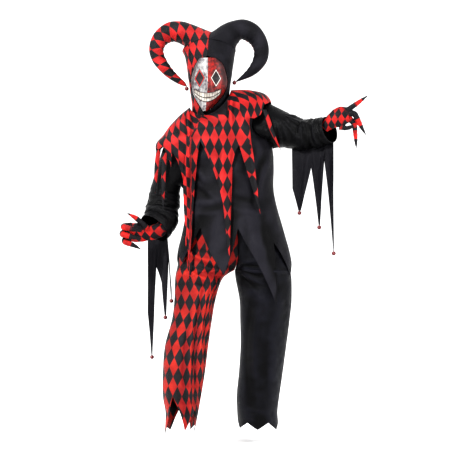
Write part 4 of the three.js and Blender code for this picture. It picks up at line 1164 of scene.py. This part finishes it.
# Folds in the front view: x and z of both ends, width and depth
DIAMOND_CREASES = [
    (10, -720, -20, -1180, 7, 8), (-14, -740, -44, -1220, 6, -8), (30, -710, 4, -1000, 6, 6),
    (-34, -760, -66, -1250, 7, 7), (-60, -800, -92, -1280, 8, -5), (-90, -620, 60, -670, 7, 6),
    (-60, -650, 84, -700, 6, -6), (-110, -690, 30, -752, 7, 6), (-30, -680, 66, -752, 6, -5),
    (-120, -735, 20, -790, 8, 5), (-70, -600, 70, -630, 7, -5),
    (-96, -655, -14, -716, 5, 5), (-58, -712, 34, -694, 5, -5), (-24, -612, 52, -662, 5, 5),
    (-118, -700, -52, -742, 6, 5), (-92, -596, -30, -640, 5, -4), (0, -640, 62, -716, 5, 5),
    (-130, -1180, -20, -1215, 9, 3), (-140, -1225, -30, -1260, 8, -3),
]
BLACK_CREASES = [
    (136, -664, 300, -636, 6, 5), (138, -676, 312, -672, 5, -5), (140, -688, 308, -706, 6, 6),
    (142, -698, 292, -738, 5, -5), (143, -708, 264, -768, 6, 5), (144, -720, 228, -792, 5, -5),
    (240, -600, 236, -700, 9, 4), (240, -780, 236, -1380, 14, 4), (200, -800, 196, -1380, 13, -3.5),
    (290, -820, 276, -1380, 14, -3), (160, -1330, 310, -1350, 9, 3), (165, -1365, 300, -1385, 8, -3),
]
LEGS = [
    ("leg_diamond_front", DIAMOND_LEG, DIAMOND_FRONT_HEM, 1, -1, DIAMOND_CREASES),
    ("leg_diamond_back", DIAMOND_LEG, DIAMOND_BACK_HEM, -1, -1, DIAMOND_CREASES[5:]),
    ("leg_black_front", BLACK_LEG, BLACK_HEM, 1, 1, BLACK_CREASES),
    ("leg_black_back", BLACK_LEG, BLACK_HEM, -1, 1, BLACK_CREASES),
]
for leg in LEGS:
    leg_panel(*leg)

# Centre and foot of the waistband, its half width and half depth, its height, and the
# length of its cloth
WAIST = dict(x=110.5, y=5, z=-419, wide=165.5, deep=112, tall=34, length=880)


def waistband():
    """An oval band above the legs, drawn in by a half sine from its top to its foot."""
    u, v = np.meshgrid(np.linspace(0, 1, 97), np.linspace(0, 1, 9), indexing="ij")
    draw = 6 * np.sin(np.pi * v)
    grid = point(WAIST["x"] + (WAIST["wide"] - draw) * np.cos(TAU * u),
                 WAIST["y"] - (WAIST["deep"] - draw) * np.sin(TAU * u),
                 WAIST["z"] + 2 * SEAM_GAP + WAIST["tall"] * (1 - v))
    uv = np.stack([u * WAIST["length"], v * WAIST["tall"]], -1)
    cloth("waistband_cloth", grid, uv, black_trousers, ["waistband"], closed=True)


waistband()

# Hood and horns


def opening(z):
    """Centre and half width of the face opening at a height: the mask's own outline and a
    small gap, drawn to a point above and below it."""
    order = np.argsort(MASK["z"])
    heights = MASK["z"][order]
    x = np.interp(z, heights, MASK["x"][order])
    half = np.interp(z, heights, MASK["half"][order]) + FACE_GAP
    top = np.clip((FACE_TOP - z) / (FACE_TOP - heights[-1]), 0, 1)
    foot = np.clip((z - FACE_FOOT) / (heights[0] - FACE_FOOT), 0, 1)
    x = np.where(z >= FACE_TOP, -3, np.where(z <= FACE_FOOT, -14, x))
    return x, half * np.minimum(top, foot)


# Place of the hood's print at the side seams and at the height of 0
HOOD_PRINT = (100, 12)
# Columns across a quarter, heights of its level rows, shares of the rows over the crown,
# and how often the opening's edge is worked out again
HOOD_COLUMNS = 41
HOOD_HEIGHTS = np.concatenate([np.linspace(-8, 255, 66), np.linspace(257, 283, 9)])
CROWN = np.linspace(0, 1, 10)[1:]
FITTINGS = 8


def hood_panel(name, quarter, finish, nodes):
    """A quarter of the hood, from its side seam to the face opening or to the middle of the
    back. The rows are level up to the crown, and the last ones run to the last ring."""
    front, right = quarter < 2, quarter in (0, 3)
    last = len(HOOD["z"]) - 1
    u = np.linspace(0, 1, HOOD_COLUMNS)[:, None]
    start = TAU if quarter == 3 else (0.0 if right else np.pi)
    z = np.broadcast_to(HOOD_HEIGHTS[None], (HOOD_COLUMNS, len(HOOD_HEIGHTS)))
    angle = np.full(z.shape, start)
    for _ in range(FITTINGS):
        s = row_at_height(HOOD, lambda _s, held=angle: held, z)
        ring = between(HOOD, s)
        if front:
            centre, half = opening(z)
            edge = centre + (1 if right else -1) * half
            target = np.arccos(np.clip((edge - ring["x"]) / ring["wide"], -1, 1))
        else:
            target = np.full(z.shape, 1.5 * np.pi)
        angle = start + (target - start) * u
    end = np.pi / 2 if front else 1.5 * np.pi
    top_target = target[:, -1:] + (end - target[:, -1:]) * CROWN
    top_s = s[:, -1:] + (last - s[:, -1:]) * CROWN
    angle = np.concatenate([angle, start + (top_target - start) * u], 1)
    s = np.concatenate([s, top_s], 1)
    grid = ring_point(HOOD, angle, s)
    outward = -1 if quarter % 2 == 0 else 1
    inwards = -1 if right else 1
    across = (run(grid, 0) - HOOD_PRINT[0]) * inwards
    uv = np.stack([across, HOOD_PRINT[1] - grid[..., 2]], -1)
    depth = seam_pinch(grid, 1.2, 6, (0,))
    depth += 1.6 * np.sin(grid[..., 2] / 21 + 2.2 * angle) * smooth(60, -8, grid[..., 2])
    depth += 1.2 * np.sin(grid[..., 2] / 26 + 4 * angle) * smooth(230, 280, grid[..., 2])
    depth += 0.7 * rumple(grid, 20 + quarter, 60) * smooth(0.0, 0.2, u) * smooth(1.0, 0.8, u)
    grid = move(grid, outward, depth)
    grid = grid + [-inwards * HALF_GAP, -HALF_GAP if front else HALF_GAP, 0]
    return cloth(name, grid, uv, finish, nodes, outward=outward, folds=depth)


HOOD_PANELS = [
    ("hood_front_right", black_hood, "black_cloth"),
    ("hood_front_left", diamonds, "diamond_cloth"),
    ("hood_back_left", black_hood, "black_cloth"),
    ("hood_back_right", diamonds, "diamond_cloth"),
]
for quarter, (name, finish, slot) in enumerate(HOOD_PANELS):
    hood_panel(name + "_cloth", quarter, finish, [name])

# Share of a horn's own turning that its print turns back, and the middle of its root
HORN_TURN = 0.62
HORN_MIDDLE = (70, 10, 350)


def through(rings, steps):
    """Smooth curves through all points of like number in the rings, taken at the steps."""
    flat = rings.reshape(len(rings), -1)
    curves = between({k: flat[:, k] for k in range(flat.shape[1])}, steps)
    return np.stack(list(curves.values()), -1).reshape((len(steps),) + rings.shape[1:])


def unrolled(spine, spread):
    """Cloth coordinates that turn back a share of the spine's own turning: the sum of
    the spine's steps, each turned by the angle there, plus the turned offset from it. The
    heading is a mean over 19 steps, held still over the first 22, which are the root's."""
    x, z = spine[:, 0], spine[:, 2]
    heading = np.unwrap(np.arctan2(np.gradient(z), np.gradient(x)))
    heading = np.convolve(np.pad(heading, 9, "edge"), np.ones(19) / 19, "valid")
    heading[:22] = heading[22]
    turn = -HORN_TURN * (heading - heading[0])
    cosine, sine = np.cos(turn), np.sin(turn)
    dx, dz = np.gradient(x), np.gradient(z)
    base_x = x[0] + np.cumsum(cosine * dx - sine * dz) - dx[0]
    base_z = z[0] + np.cumsum(sine * dx + cosine * dz) - dz[0]
    across, up = spread[..., 0] - x, spread[..., 2] - z
    return np.stack([base_x + cosine * across - sine * up, -base_z - sine * across - cosine * up], -1)


def horn_half(name, rows, side, face, finish, nodes):
    """Half of a stuffed horn: the root follows the hood's edge and the seam between the
    horns, and the half ovals after it are joined by smooth curves through all sections."""
    last, count = len(HOOD["z"]) - 1, 41
    f = np.linspace(0, 1, count)
    turn = np.clip(f / HORN_SADDLE, 0, 1) * np.pi / 2
    angle = face * turn if side > 0 else np.pi - face * turn
    root = ring_point(HOOD, angle, np.full(count, last))
    before = ring_point(HOOD, angle, np.full(count, last - 0.55))
    saddle = ring_point(HOOD, np.array(np.pi / 2), np.array(float(last)))
    saddle[1] = HORN_NOTCH[1] - face * (HORN_NOTCH[1] - saddle[1])
    rise = np.clip((f - HORN_SADDLE) / (1 - HORN_SADDLE), 0, 1)[:, None]
    seam = saddle + (HORN_NOTCH - saddle) * rise
    seam[:, 2] = saddle[2] + (HORN_NOTCH[2] - saddle[2]) * np.sin(rise[:, 0] * np.pi / 2)
    root = np.where(rise > 0, seam, root)
    before = np.where(rise > 0, seam - [side * 30, 0, 0], before)
    rings, centres, outs = [], [], []
    n = len(rows["x"])
    for k in range(n):
        a, b = max(k - 1, 0), min(k + 1, n - 1)
        along = unit(np.array([rows["x"][b] - rows["x"][a], 0, rows["z"][b] - rows["z"][a]]))
        out = np.array([along[2], 0, -along[0]]) * side
        centre = np.array([rows["x"][k], rows["y"][k], rows["z"][k]])
        rings.append(centre + out * (rows["wide"][k] * np.cos(f * np.pi))[:, None]
                     + np.array([0, -face, 0]) * (rows["deep"][k] * np.sin(f * np.pi))[:, None])
        flat = centre + out * (rows["wide"][k] * (np.pi / 2 - f * np.pi))[:, None]
        centres.append(centre)
        outs.append(flat)
    stack = np.stack([before, root] + rings)
    flats = np.stack([before, root] + outs)
    middle = np.array(HORN_MIDDLE) * [side, 1, 1]
    axis = np.concatenate([[root.mean(0) * 0.6 + middle * 0.4, middle], centres])
    steps = np.concatenate([np.linspace(1, 2, 22)[:-1], np.linspace(2, n + 1, (n - 1) * 12 + 1)])
    surface, spread, spine = through(stack, steps), through(flats, steps), through(axis, steps)
    grid, spread = surface.transpose(1, 0, 2), spread.transpose(1, 0, 2)
    length = run(spine[None], 1)[0]
    outward = -side * face
    inner_side = f[:, None]
    wrinkle = 0.9 * np.sin(length[None] / 4.6 + 1.5 * np.sin(length[None] / 31)) * hill(inner_side, 0.3)
    wrinkle = wrinkle + 1.0 * np.sin(length[None] / 17 + 4 * inner_side) * np.sin(np.pi * inner_side)
    wrinkle = wrinkle * smooth(20, 70, length[None]) * smooth(length[-1] - 4, length[-1] - 80, length[None])
    depth = wrinkle + seam_pinch(grid, 1.6, 6) * smooth(0, 20, length[None])
    grid = move(grid, outward, depth)
    uv = unrolled(spine, spread)
    full = np.concatenate([grid, spine[None]], 0)
    full = full + [side * HALF_GAP, -face * HALF_GAP, 2 * SEAM_GAP]
    uv = np.concatenate([uv, uv[-1:]], 0)
    body = tube(name, full, uv, finish, nodes)
    # Fold heights, 1.6 times as strong, for the painted shade in the valleys of the folds
    note(body, "fold", np.concatenate([depth * 1.6, 0 * depth[:1]]))


horn_half("horn_left_front_cloth", HORN_LEFT, -1, 1, diamonds, ["horn_left_front"])
horn_half("horn_left_back_cloth", HORN_LEFT, -1, -1, black_hood, ["horn_left_back"])
horn_half("horn_right_front_cloth", HORN_RIGHT, 1, 1, black_hood, ["horn_right_front"])
horn_half("horn_right_back_cloth", HORN_RIGHT, 1, -1, diamonds, ["horn_right_back"])

# Gloves


# Columns and rows of a hand's tubes, size of the grid that melts them into one, and the
# distance from the palm's first section at which the wrist is cut open
LIMB_SIDES, LIMB_ROWS = 28, 60
MELT_SIZE = 0.0019
WRIST_CUT = 6


def limb(rows, sides, steps):
    """Closed tube along a path: ovals square to the path's direction, evenly spaced."""
    n = len(rows["x"])
    t = np.linspace(0, n - 1, steps)
    row = between(rows, t)
    centre = point(row["x"], row["y"], row["z"])
    along = unit(np.gradient(centre, axis=0))
    up = np.array([0.0, 0, 1]) if abs(along[0, 2]) < 0.8 else np.array([-1.0, 0, 0])
    ups = []
    for direction in along:
        up = up - direction * (up @ direction)
        up = up / np.linalg.norm(up)
        ups.append(up)
    ups = np.array(ups)
    through = np.cross(along, ups)
    a = np.arange(sides) / sides * TAU
    wide, deep = np.maximum(row["wide"], 0.6), np.maximum(row["deep"], 0.6)
    grid = (centre[None] + ups[None] * (wide[None] * np.cos(a)[:, None])[..., None]
            + through[None] * (deep[None] * np.sin(a)[:, None])[..., None])
    return grid, centre, run(centre[None], 1)[0]


def glove(name, hand, nodes):
    """The hand's tubes melted into one skin, cut open at the wrist and given a wall."""
    points, faces, count = [], [], 0
    lines = []
    for k, rows in enumerate(hand):
        grid, centre, length = limb(rows, LIMB_SIDES, LIMB_ROWS)
        lines.append((centre, length, k))
        sides, ends = tube_faces(LIMB_SIDES, LIMB_ROWS, count)
        faces += [list(f) for f in sides] + ends
        points.append(grid.reshape(-1, 3))
        count += LIMB_SIDES * LIMB_ROWS
    mesh = bpy.data.meshes.new(name)
    mesh.from_pydata((np.concatenate(points) * MM).tolist(), [], faces)
    body = link(name, mesh)
    melt = body.modifiers.new("melt", "REMESH")
    melt.mode = "VOXEL"
    melt.voxel_size = MELT_SIZE
    soften = body.modifiers.new("soften", "SMOOTH")
    soften.factor, soften.iterations = 0.5, 7
    graph = bpy.context.evaluated_depsgraph_get()
    solid = bpy.data.meshes.new_from_object(body.evaluated_get(graph))
    body.modifiers.clear()
    where = np.zeros(len(solid.vertices) * 3, np.float32)
    solid.vertices.foreach_get("co", where)
    where = where.reshape(-1, 3) / MM
    quads = np.array([list(p.vertices) for p in solid.polygons if len(p.vertices) == 4])
    first, second = (np.array([hand[0][axis][k] for axis in "xyz"]) for k in range(2))
    direction = unit(second - first)
    keep = ((where[quads].mean(1) - first) @ direction) > WRIST_CUT
    quads = quads[keep]
    best = np.full(len(where), 1e9)
    along, number = np.zeros(len(where)), np.zeros(len(where))
    for centre, length, k in lines:
        for spot, reached in zip(centre[::3], length[::3]):
            d = np.linalg.norm(where - spot, axis=1) + (0 if k == 0 else -6)
            closer = d < best
            best = np.where(closer, d, best)
            along = np.where(closer, reached, along)
            number = np.where(closer, k, number)
    # small gathers over the palm and knuckle wrinkles on the fingers
    normal = np.zeros(len(where) * 3, np.float32)
    solid.vertices.foreach_get("normal", normal)
    normal = normal.reshape(-1, 3)
    gathers = 0.9 * np.sin(where[:, 0] / 9 + where[:, 2] / 14)
    ripple = np.where(number == 0, gathers, 0.5 * np.sin(along / 3.2))
    where = where + normal * ripple[:, None]
    used = np.unique(quads)
    index = np.zeros(len(where), int)
    index[used] = np.arange(len(used))
    quads, where, along, number = index[quads], where[used], along[used], number[used]
    uv = np.stack([where[:, 0] - where[:, 1] * 0.5, where[:, 2]], -1)
    tip = np.where(number > 0, along, -40)
    bpy.data.objects.remove(body)
    body = piece(name, where, quads, GLOVE, nodes, uv)
    note(body, "finger", tip)
    wall = body.modifiers.new("wall", "SOLIDIFY")
    wall.thickness, wall.offset = GLOVE_CLOTH * MM, -1


# Diamonds of the gloves in metres, and length of one dark and red band along a finger
GLOVE_WIDE, GLOVE_HIGH = 0.032, 0.05
FINGER_BAND = 92


def glove_cloth():
    """Small diamonds over the hand, and dark and red bands by turns along the fingers."""
    finish = Finish("glove cloth", Sheen_Weight=0.04, Sheen_Roughness=0.4, Specular_IOR_Level=0.2)
    vector, (u, v, _) = finish.place("UV")
    finger = finish.mark("finger")
    p, q = u / GLOVE_WIDE, v / GLOVE_HIGH
    mask = (((p + q) * np.pi).sin() * ((p - q) * np.pi).sin() * 9.0 + 0.5).clamp()
    bands = ((finger * (TAU / FINGER_BAND) - 1.0).sin() * 6.0 + 2.4).clamp()
    on_finger = finger.rise(6.0, 14.0)
    dark = mask * (1 - on_finger) + bands * on_finger
    soft = finish.noise(vector, 22.0)
    red = finish.blend(soft.rise(0.3, 0.7), colour(126, 20, 20), colour(166, 32, 28))
    finish.set("Base Color", finish.blend(dark, red, colour(20, 18, 22)))
    finish.set("Roughness", (soft * 0.2 + 0.42).clamp())
    finish.bump(soft * 0.8 + weave(u, v) * 0.05, 0.002)
    return finish.material


GLOVE = glove_cloth()
glove("glove_open_skin", OPEN_HAND, ["glove_open"])
glove("glove_closed_skin", CLOSED_HAND, ["glove_closed"])

# Mask


def mask_point(u, v):
    """Rows of half ovals from edge to front; brows, cheeks, nose, lips and chin are bells
    added to the depth."""
    row = between(MASK, v * (len(MASK["z"]) - 1))
    across = 2 * u - 1
    x, z = row["x"] + row["half"] * across, row["z"]
    depth = row["edge"] + (row["front"] - row["edge"]) * np.maximum(1 - across ** 2, 0) ** 0.6
    face_x = x - np.interp(z, [16, 130, 255], [-13, -3, -3])
    depth -= 15 * hill(face_x, 12) * hill(z - 130, 25) + 5 * hill(face_x, 10) * hill(z - 160, 25)
    for side in (-1, 1):
        depth -= 3.6 * hill(face_x - side * 36, 24) * hill(z - 184 - 0.1 * np.abs(face_x), 9)
        depth -= 3.4 * hill(face_x - side * 44, 17) * hill(z - 122, 16)
        depth += 3.2 * hill(face_x - side * 36, 22) * hill(z - 163, 13)
        depth += 1.6 * hill(np.abs(face_x) - 26 - (112 - z) * 0.25, 5) * hill(z - 100, 20)
    smile = z - 76 - 0.0085 * face_x ** 2
    lips = hill(smile - 17, 5) + hill(smile + 17, 5)
    depth -= 2.6 * lips * hill(face_x, 40) + 1.6 * hill(smile, 12) * hill(face_x, 36)
    depth -= 4.0 * hill(z - 42, 13) * hill(face_x, 18)
    return point(x, depth, z)


def mask_finish():
    """Pale left half and red right half, worn and smudged, with a tall dark diamond round
    each eye and a wide row of square teeth between dark lips."""
    finish = Finish("painted mask", Specular_IOR_Level=0.4, Coat_Roughness=0.3)
    vector, (x, y, z) = finish.place()
    x, z = x * 1000.0, z * 1000.0
    broad = finish.noise(vector, 26.0, 5.0, 0.65)
    small = finish.noise(vector, 95.0, 4.0, 0.7)
    smudge = (broad - 0.5) * 9.0 + (small - 0.5) * 5.0
    face_x = x + 3.0 + (130.0 - z).most(0.0) * 0.085 + (small - 0.5) * 1.6
    right = face_x.rise(-0.6, 0.6)
    wide = abs(face_x)
    stain = broad.rise(0.36, 0.62) * 0.65 + small.rise(0.40, 0.62) * 0.5
    pale = finish.blend(stain.clamp(), colour(158, 157, 155), colour(74, 70, 74))
    red = finish.blend(stain.clamp(), colour(146, 28, 22), colour(56, 14, 14))
    paint = finish.blend(right, pale, red)
    # painted shade, with a smudged edge, darkens the sides of the mask over the hollow cheeks and temples
    cheek = (wide * 0.9 + abs(z - 112.0) * 0.25 + smudge * 1.2).rise(58.0, 78.0)
    paint = finish.blend(cheek * 0.75, paint, colour(44, 30, 32))
    # a tall diamond round each eye, with a paler line inside it
    across, up = abs(wide - 37.0) / 25.0, abs(z - 163.0) / 44.0
    diamond = across + up + smudge * 0.012
    inside = diamond.rise(1.0, 0.93)
    line = diamond.rise(0.74, 0.78) * diamond.rise(0.90, 0.86)
    paint = finish.blend(inside, paint, colour(26, 22, 24))
    paint = finish.blend(line, paint, finish.blend(right, colour(168, 30, 30), colour(188, 182, 176)))
    # two short strokes on each cheek
    stroke = (2.4 - abs(abs(wide - 40.0 - (z - 100.0) * 0.35) - 5.0)).rise(0.0, 1.4)
    stroke = stroke * (12.0 - abs(z - 106.0)).rise(0.0, 4.0)
    paint = finish.blend(stroke, paint, colour(34, 24, 26))
    # nostrils: painted shade under the nose where the nostril openings would be
    nostril_shade = (4.0 - abs(wide - 6.0) - abs(z - 112.0) * 0.5).rise(0.0, 1.5)
    paint = finish.blend(nostril_shade, paint, colour(26, 18, 20))
    # the grin: teeth either side of a line that curves up, lips round them
    smile = z - 76.0 - face_x * face_x * 0.0085
    half = 18.0 - wide * wide * 0.0026
    lips = (half + 4.0 + smudge * 0.25 - abs(smile)).rise(0.0, 1.6) * (65.0 - wide).rise(0.0, 3.0)
    band = (half - abs(smile)).rise(0.0, 0.9) * (61.0 - wide).rise(0.0, 2.0)
    tooth = (1.0 - abs((face_x * (np.pi / 11.6)).sin())).rise(0.78, 0.93)
    bite = (1.7 - abs(smile + 2.0)).rise(-0.3, 0.5)
    teeth = finish.blend((stain * 0.8).clamp(), colour(184, 182, 174), colour(112, 102, 94))
    paint = finish.blend(lips, paint, colour(40, 20, 22))
    paint = finish.blend(band, paint, teeth)
    paint = finish.blend(band * tooth.most(bite), paint, colour(30, 20, 20))
    finish.set("Base Color", paint)
    finish.set("Roughness", (broad * 0.25 + 0.32).clamp())
    finish.bump(broad * 0.5 + small * 0.3 - band * tooth.most(bite) * 1.2, 0.0014)
    return finish.material


u, v = np.meshgrid(np.linspace(0, 1, 121), np.linspace(0, 1, 141), indexing="ij")
grid = mask_point(u, v)
uv = np.stack([grid[..., 0], -grid[..., 2]], -1)
mask = cloth("mask_shell", grid, uv, mask_finish(), ["mask"], MASK_SHELL, -1)

# Sides of the prism that cuts an eye, the y of its front and its depth
EYE_SIDES, EYE_START, EYE_DEPTH = 48, -190, 170


def eye_cutter(k):
    """A straight prism through the mask with the outline of a slanted oval."""
    a = np.arange(EYE_SIDES) / EYE_SIDES * TAU
    x = EYES["half"][k] * np.cos(a)
    z = EYES["z"][k] + EYES["tall"][k] * np.sin(a) + EYES["slant"][k] * x
    front = point(EYES["x"][k] + x, np.full_like(x, EYE_START), z)
    back = front + [0, EYE_DEPTH, 0]
    ids = np.arange(EYE_SIDES)
    ahead, behind = np.roll(ids, -1), ids + EYE_SIDES
    sides = np.stack([ids, ahead, ahead + EYE_SIDES, behind], -1)
    faces = [list(f) for f in sides] + [list(ids[::-1]), list(behind)]
    mesh = bpy.data.meshes.new("eye")
    mesh.from_pydata((np.concatenate([front, back]) * MM).tolist(), [], faces)
    return link("eye", mesh)


for k in range(len(EYES["x"])):
    knife = eye_cutter(k)
    cut = mask.modifiers.new("eye", "BOOLEAN")
    cut.operation, cut.object, cut.solver = "DIFFERENCE", knife, "EXACT"
    graph = bpy.context.evaluated_depsgraph_get()
    cut_mesh = bpy.data.meshes.new_from_object(mask.evaluated_get(graph))
    mask.modifiers.clear()
    mask.data = cut_mesh
    bpy.data.objects.remove(knife)

# Bells


def bell_finish():
    """Dark red metal that wears darker in small patches of noise."""
    finish = Finish("red bell", Metallic=0.35, Coat_Weight=0.4, Coat_Roughness=0.2)
    vector, _ = finish.place()
    wear = finish.noise(vector, 240.0, 4.0)
    finish.set("Base Color", finish.blend(wear.rise(0.45, 0.75), colour(96, 19, 25), colour(54, 16, 20)))
    finish.set("Roughness", (wear * 0.3 + 0.22).clamp())
    finish.bump(wear, 0.0002)
    return finish.material


def bell(name, centre, finish, nodes):
    """A ball turned from a profile: radius times sine and cosine of the latitude, with a
    raised band round the middle, a slot across the lower half and a short shank on top."""
    n = 48
    a = np.arange(n) / n * TAU
    t = np.linspace(0.16, np.pi - 0.02, 33)
    band = 0.9 * hill(t - np.pi / 2, 0.06)
    radius = (BELL_RADIUS - 0.2 + band)[None] + 0 * a[:, None]
    slot = hill(np.sin(a)[:, None] * np.sin(t)[None], 0.09) * smooth(1.75, 2.0, t)[None]
    radius = radius - 1.6 * slot
    reach = radius * np.sin(t)[None]
    ball = point(reach * np.cos(a)[:, None], reach * np.sin(a)[:, None], radius * np.cos(t)[None])
    shank = point(1.25 * np.cos(a)[:, None], 1.25 * np.sin(a)[:, None], np.array([[13.5, 12.0, 9.4]]))
    grid = np.concatenate([shank, ball], 1) + np.array(centre)
    return tube(name, grid, grid[..., :2], finish, nodes)


def tips(rows, side, fold, foot, line, shares):
    """Centre of the bell under each tip: the tip less the gap and the bell's radius."""
    found = []
    for share in shares:
        tip = tail_point(rows, side, fold, foot, line, np.array(share), np.array(1.0))
        found.append(tuple(tip - [0, 0, BELL_RADIUS + BELL_GAP]))
    return found


bell_red = bell_finish()
spots = (HORN_BELLS + tips(RAISED_SLEEVE, 1, raised_fold, RAISED_FOOT, RAISED_LINE, RAISED_TIPS)
         + tips(LOWERED_SLEEVE, -1, lowered_fold, LOWERED_FOOT, LOWERED_LINE, LOWERED_TIPS))
for number, spot in enumerate(spots, 1):
    bell(f"bell_{number}_ball", spot, bell_red, [f"bell_{number}"])

# Floor and light

FLOOR_HALF, FLOOR_Z = 60.0, -1.50
floor_mesh = bpy.data.meshes.new("floor")
corners = [(FLOOR_HALF * x, FLOOR_HALF * y, FLOOR_Z) for x, y in ((-1, -1), (1, -1), (1, 1), (-1, 1))]
floor_mesh.from_pydata(corners, [], [(0, 1, 2, 3)])
floor_finish = Finish("pale floor", Roughness=0.9, Specular_IOR_Level=0.1)
floor_finish.shader.inputs["Base Color"].default_value = (0.9, 0.9, 0.9, 1)
floor_finish.shader.inputs["Emission Color"].default_value = (1, 1, 1, 1)
floor_finish.shader.inputs["Emission Strength"].default_value = 0.15
floor_mesh.materials.append(floor_finish.material)
floor = link("floor", floor_mesh)

world = bpy.data.worlds.new("studio")
world.use_nodes = True
world.node_tree.nodes["Background"].inputs[0].default_value = (1, 1, 1, 1)
world.node_tree.nodes["Background"].inputs[1].default_value = 1.0
bpy.context.scene.world = world
bpy.context.scene.view_settings.view_transform = "Standard"
bpy.context.scene.view_settings.look = "High Contrast"


def lamp(name, place, target, power, size):
    """A square lamp turned to its target: yaw from the two in plan, and pitch from the
    target's distance in plan and its drop."""
    data = bpy.data.lights.new(name, "AREA")
    data.energy, data.size = power, size
    body = link(name, data)
    direction = np.array(target, float) - np.array(place, float)
    yaw = np.arctan2(-direction[0], direction[1])
    pitch = np.arctan2(np.hypot(direction[0], direction[1]), -direction[2])
    body.location = place
    body.rotation_euler = (pitch, 0, yaw)


lamp("key", (-2.2, -3.2, 2.4), (0.1, 0, -0.3), 250, 0.6)
lamp("fill", (3.4, -1.6, 0.6), (0.1, 0, -0.6), 60, 0.9)

# Stitches beside the seams


# Distance of the stitches from the edge, from one to the next, and half a stitch's length
STITCH_INSET, STITCH_PITCH, STITCH_HALF = 4.0, 5.2, 1.7


def seam_line(wall, edge, inset):
    """Points and normals a set distance in from one edge of a wall's outer face."""
    grid, out = walls[wall]
    if edge in ("top", "foot"):
        grid, out = grid.transpose(1, 0, 2), out.transpose(1, 0, 2)
    if edge in ("last", "foot"):
        grid, out = grid[::-1], out[::-1]
    reach = run(grid, 0)
    column = np.arange(grid.shape[1])
    k = np.clip((reach < inset).sum(0), 1, len(grid) - 1)
    before, after = reach[k - 1, column], reach[k, column]
    share = np.clip((inset - before) / np.maximum(after - before, 1e-6), 0, 1)[:, None]
    low, high = grid[k - 1, column], grid[k, column]
    return low + (high - low) * share, out[k, column]


def stitches(wall, edges, finish):
    """A row of short threads beside each sewn edge, every one a small box on the cloth."""
    blocks = []
    for edge in edges:
        line, out = seam_line(wall, edge, STITCH_INSET)
        length = run(line[None], 1)[0]
        middles = np.arange(STITCH_PITCH, length[-1] - STITCH_PITCH, STITCH_PITCH)

        def at(values, where):
            """Values along the line at the given lengths from its start."""
            return np.stack([np.interp(where, length, values[:, k]) for k in range(3)], -1)
        start, end = at(line, middles - STITCH_HALF), at(line, middles + STITCH_HALF)
        up = unit(at(out, middles))
        side = np.cross(unit(end - start), up) * 0.4
        low, high = up * -0.3, up * 0.35
        ring = [low - side, low + side, high + side, high - side]
        blocks.append(np.stack([start + r for r in ring] + [end + r for r in ring], 1))
    points = np.concatenate(blocks)
    box = np.array([[0, 1, 2, 3], [4, 7, 6, 5], [0, 4, 5, 1], [1, 5, 6, 2], [2, 6, 7, 3], [3, 7, 4, 0]])
    faces = (np.arange(len(points))[:, None, None] * 8 + box).reshape(-1, 4)
    return piece(wall.replace("_cloth", "_stitches"), points.reshape(-1, 3), faces, finish)


thread = Finish("thread", Roughness=0.6, Specular_IOR_Level=0.3)
vector, _ = thread.place()
thread.set("Base Color", thread.blend(thread.noise(vector, 400.0), colour(30, 28, 32), colour(58, 56, 62)))
SEAMS = {
    "tunic_front_cloth": ("first", "last", "top"), "tunic_back_cloth": ("first", "last", "top"),
    "collar_front_cloth": ("top",), "collar_back_cloth": ("top",),
    "sleeve_raised_cloth": ("top", "foot"), "sleeve_lowered_cloth": ("top", "foot"),
    "leg_diamond_front_cloth": ("first", "last"), "leg_diamond_back_cloth": ("first", "last"),
    "leg_black_front_cloth": ("first", "last"), "leg_black_back_cloth": ("first", "last"),
    "waistband_cloth": ("top", "foot"), "hood_front_right_cloth": ("first", "last"),
    "hood_front_left_cloth": ("first", "last"), "hood_back_left_cloth": ("first", "last"),
    "hood_back_right_cloth": ("first", "last"),
}
sewn = {wall: stitches(wall, edges, thread.material) for wall, edges in SEAMS.items()}
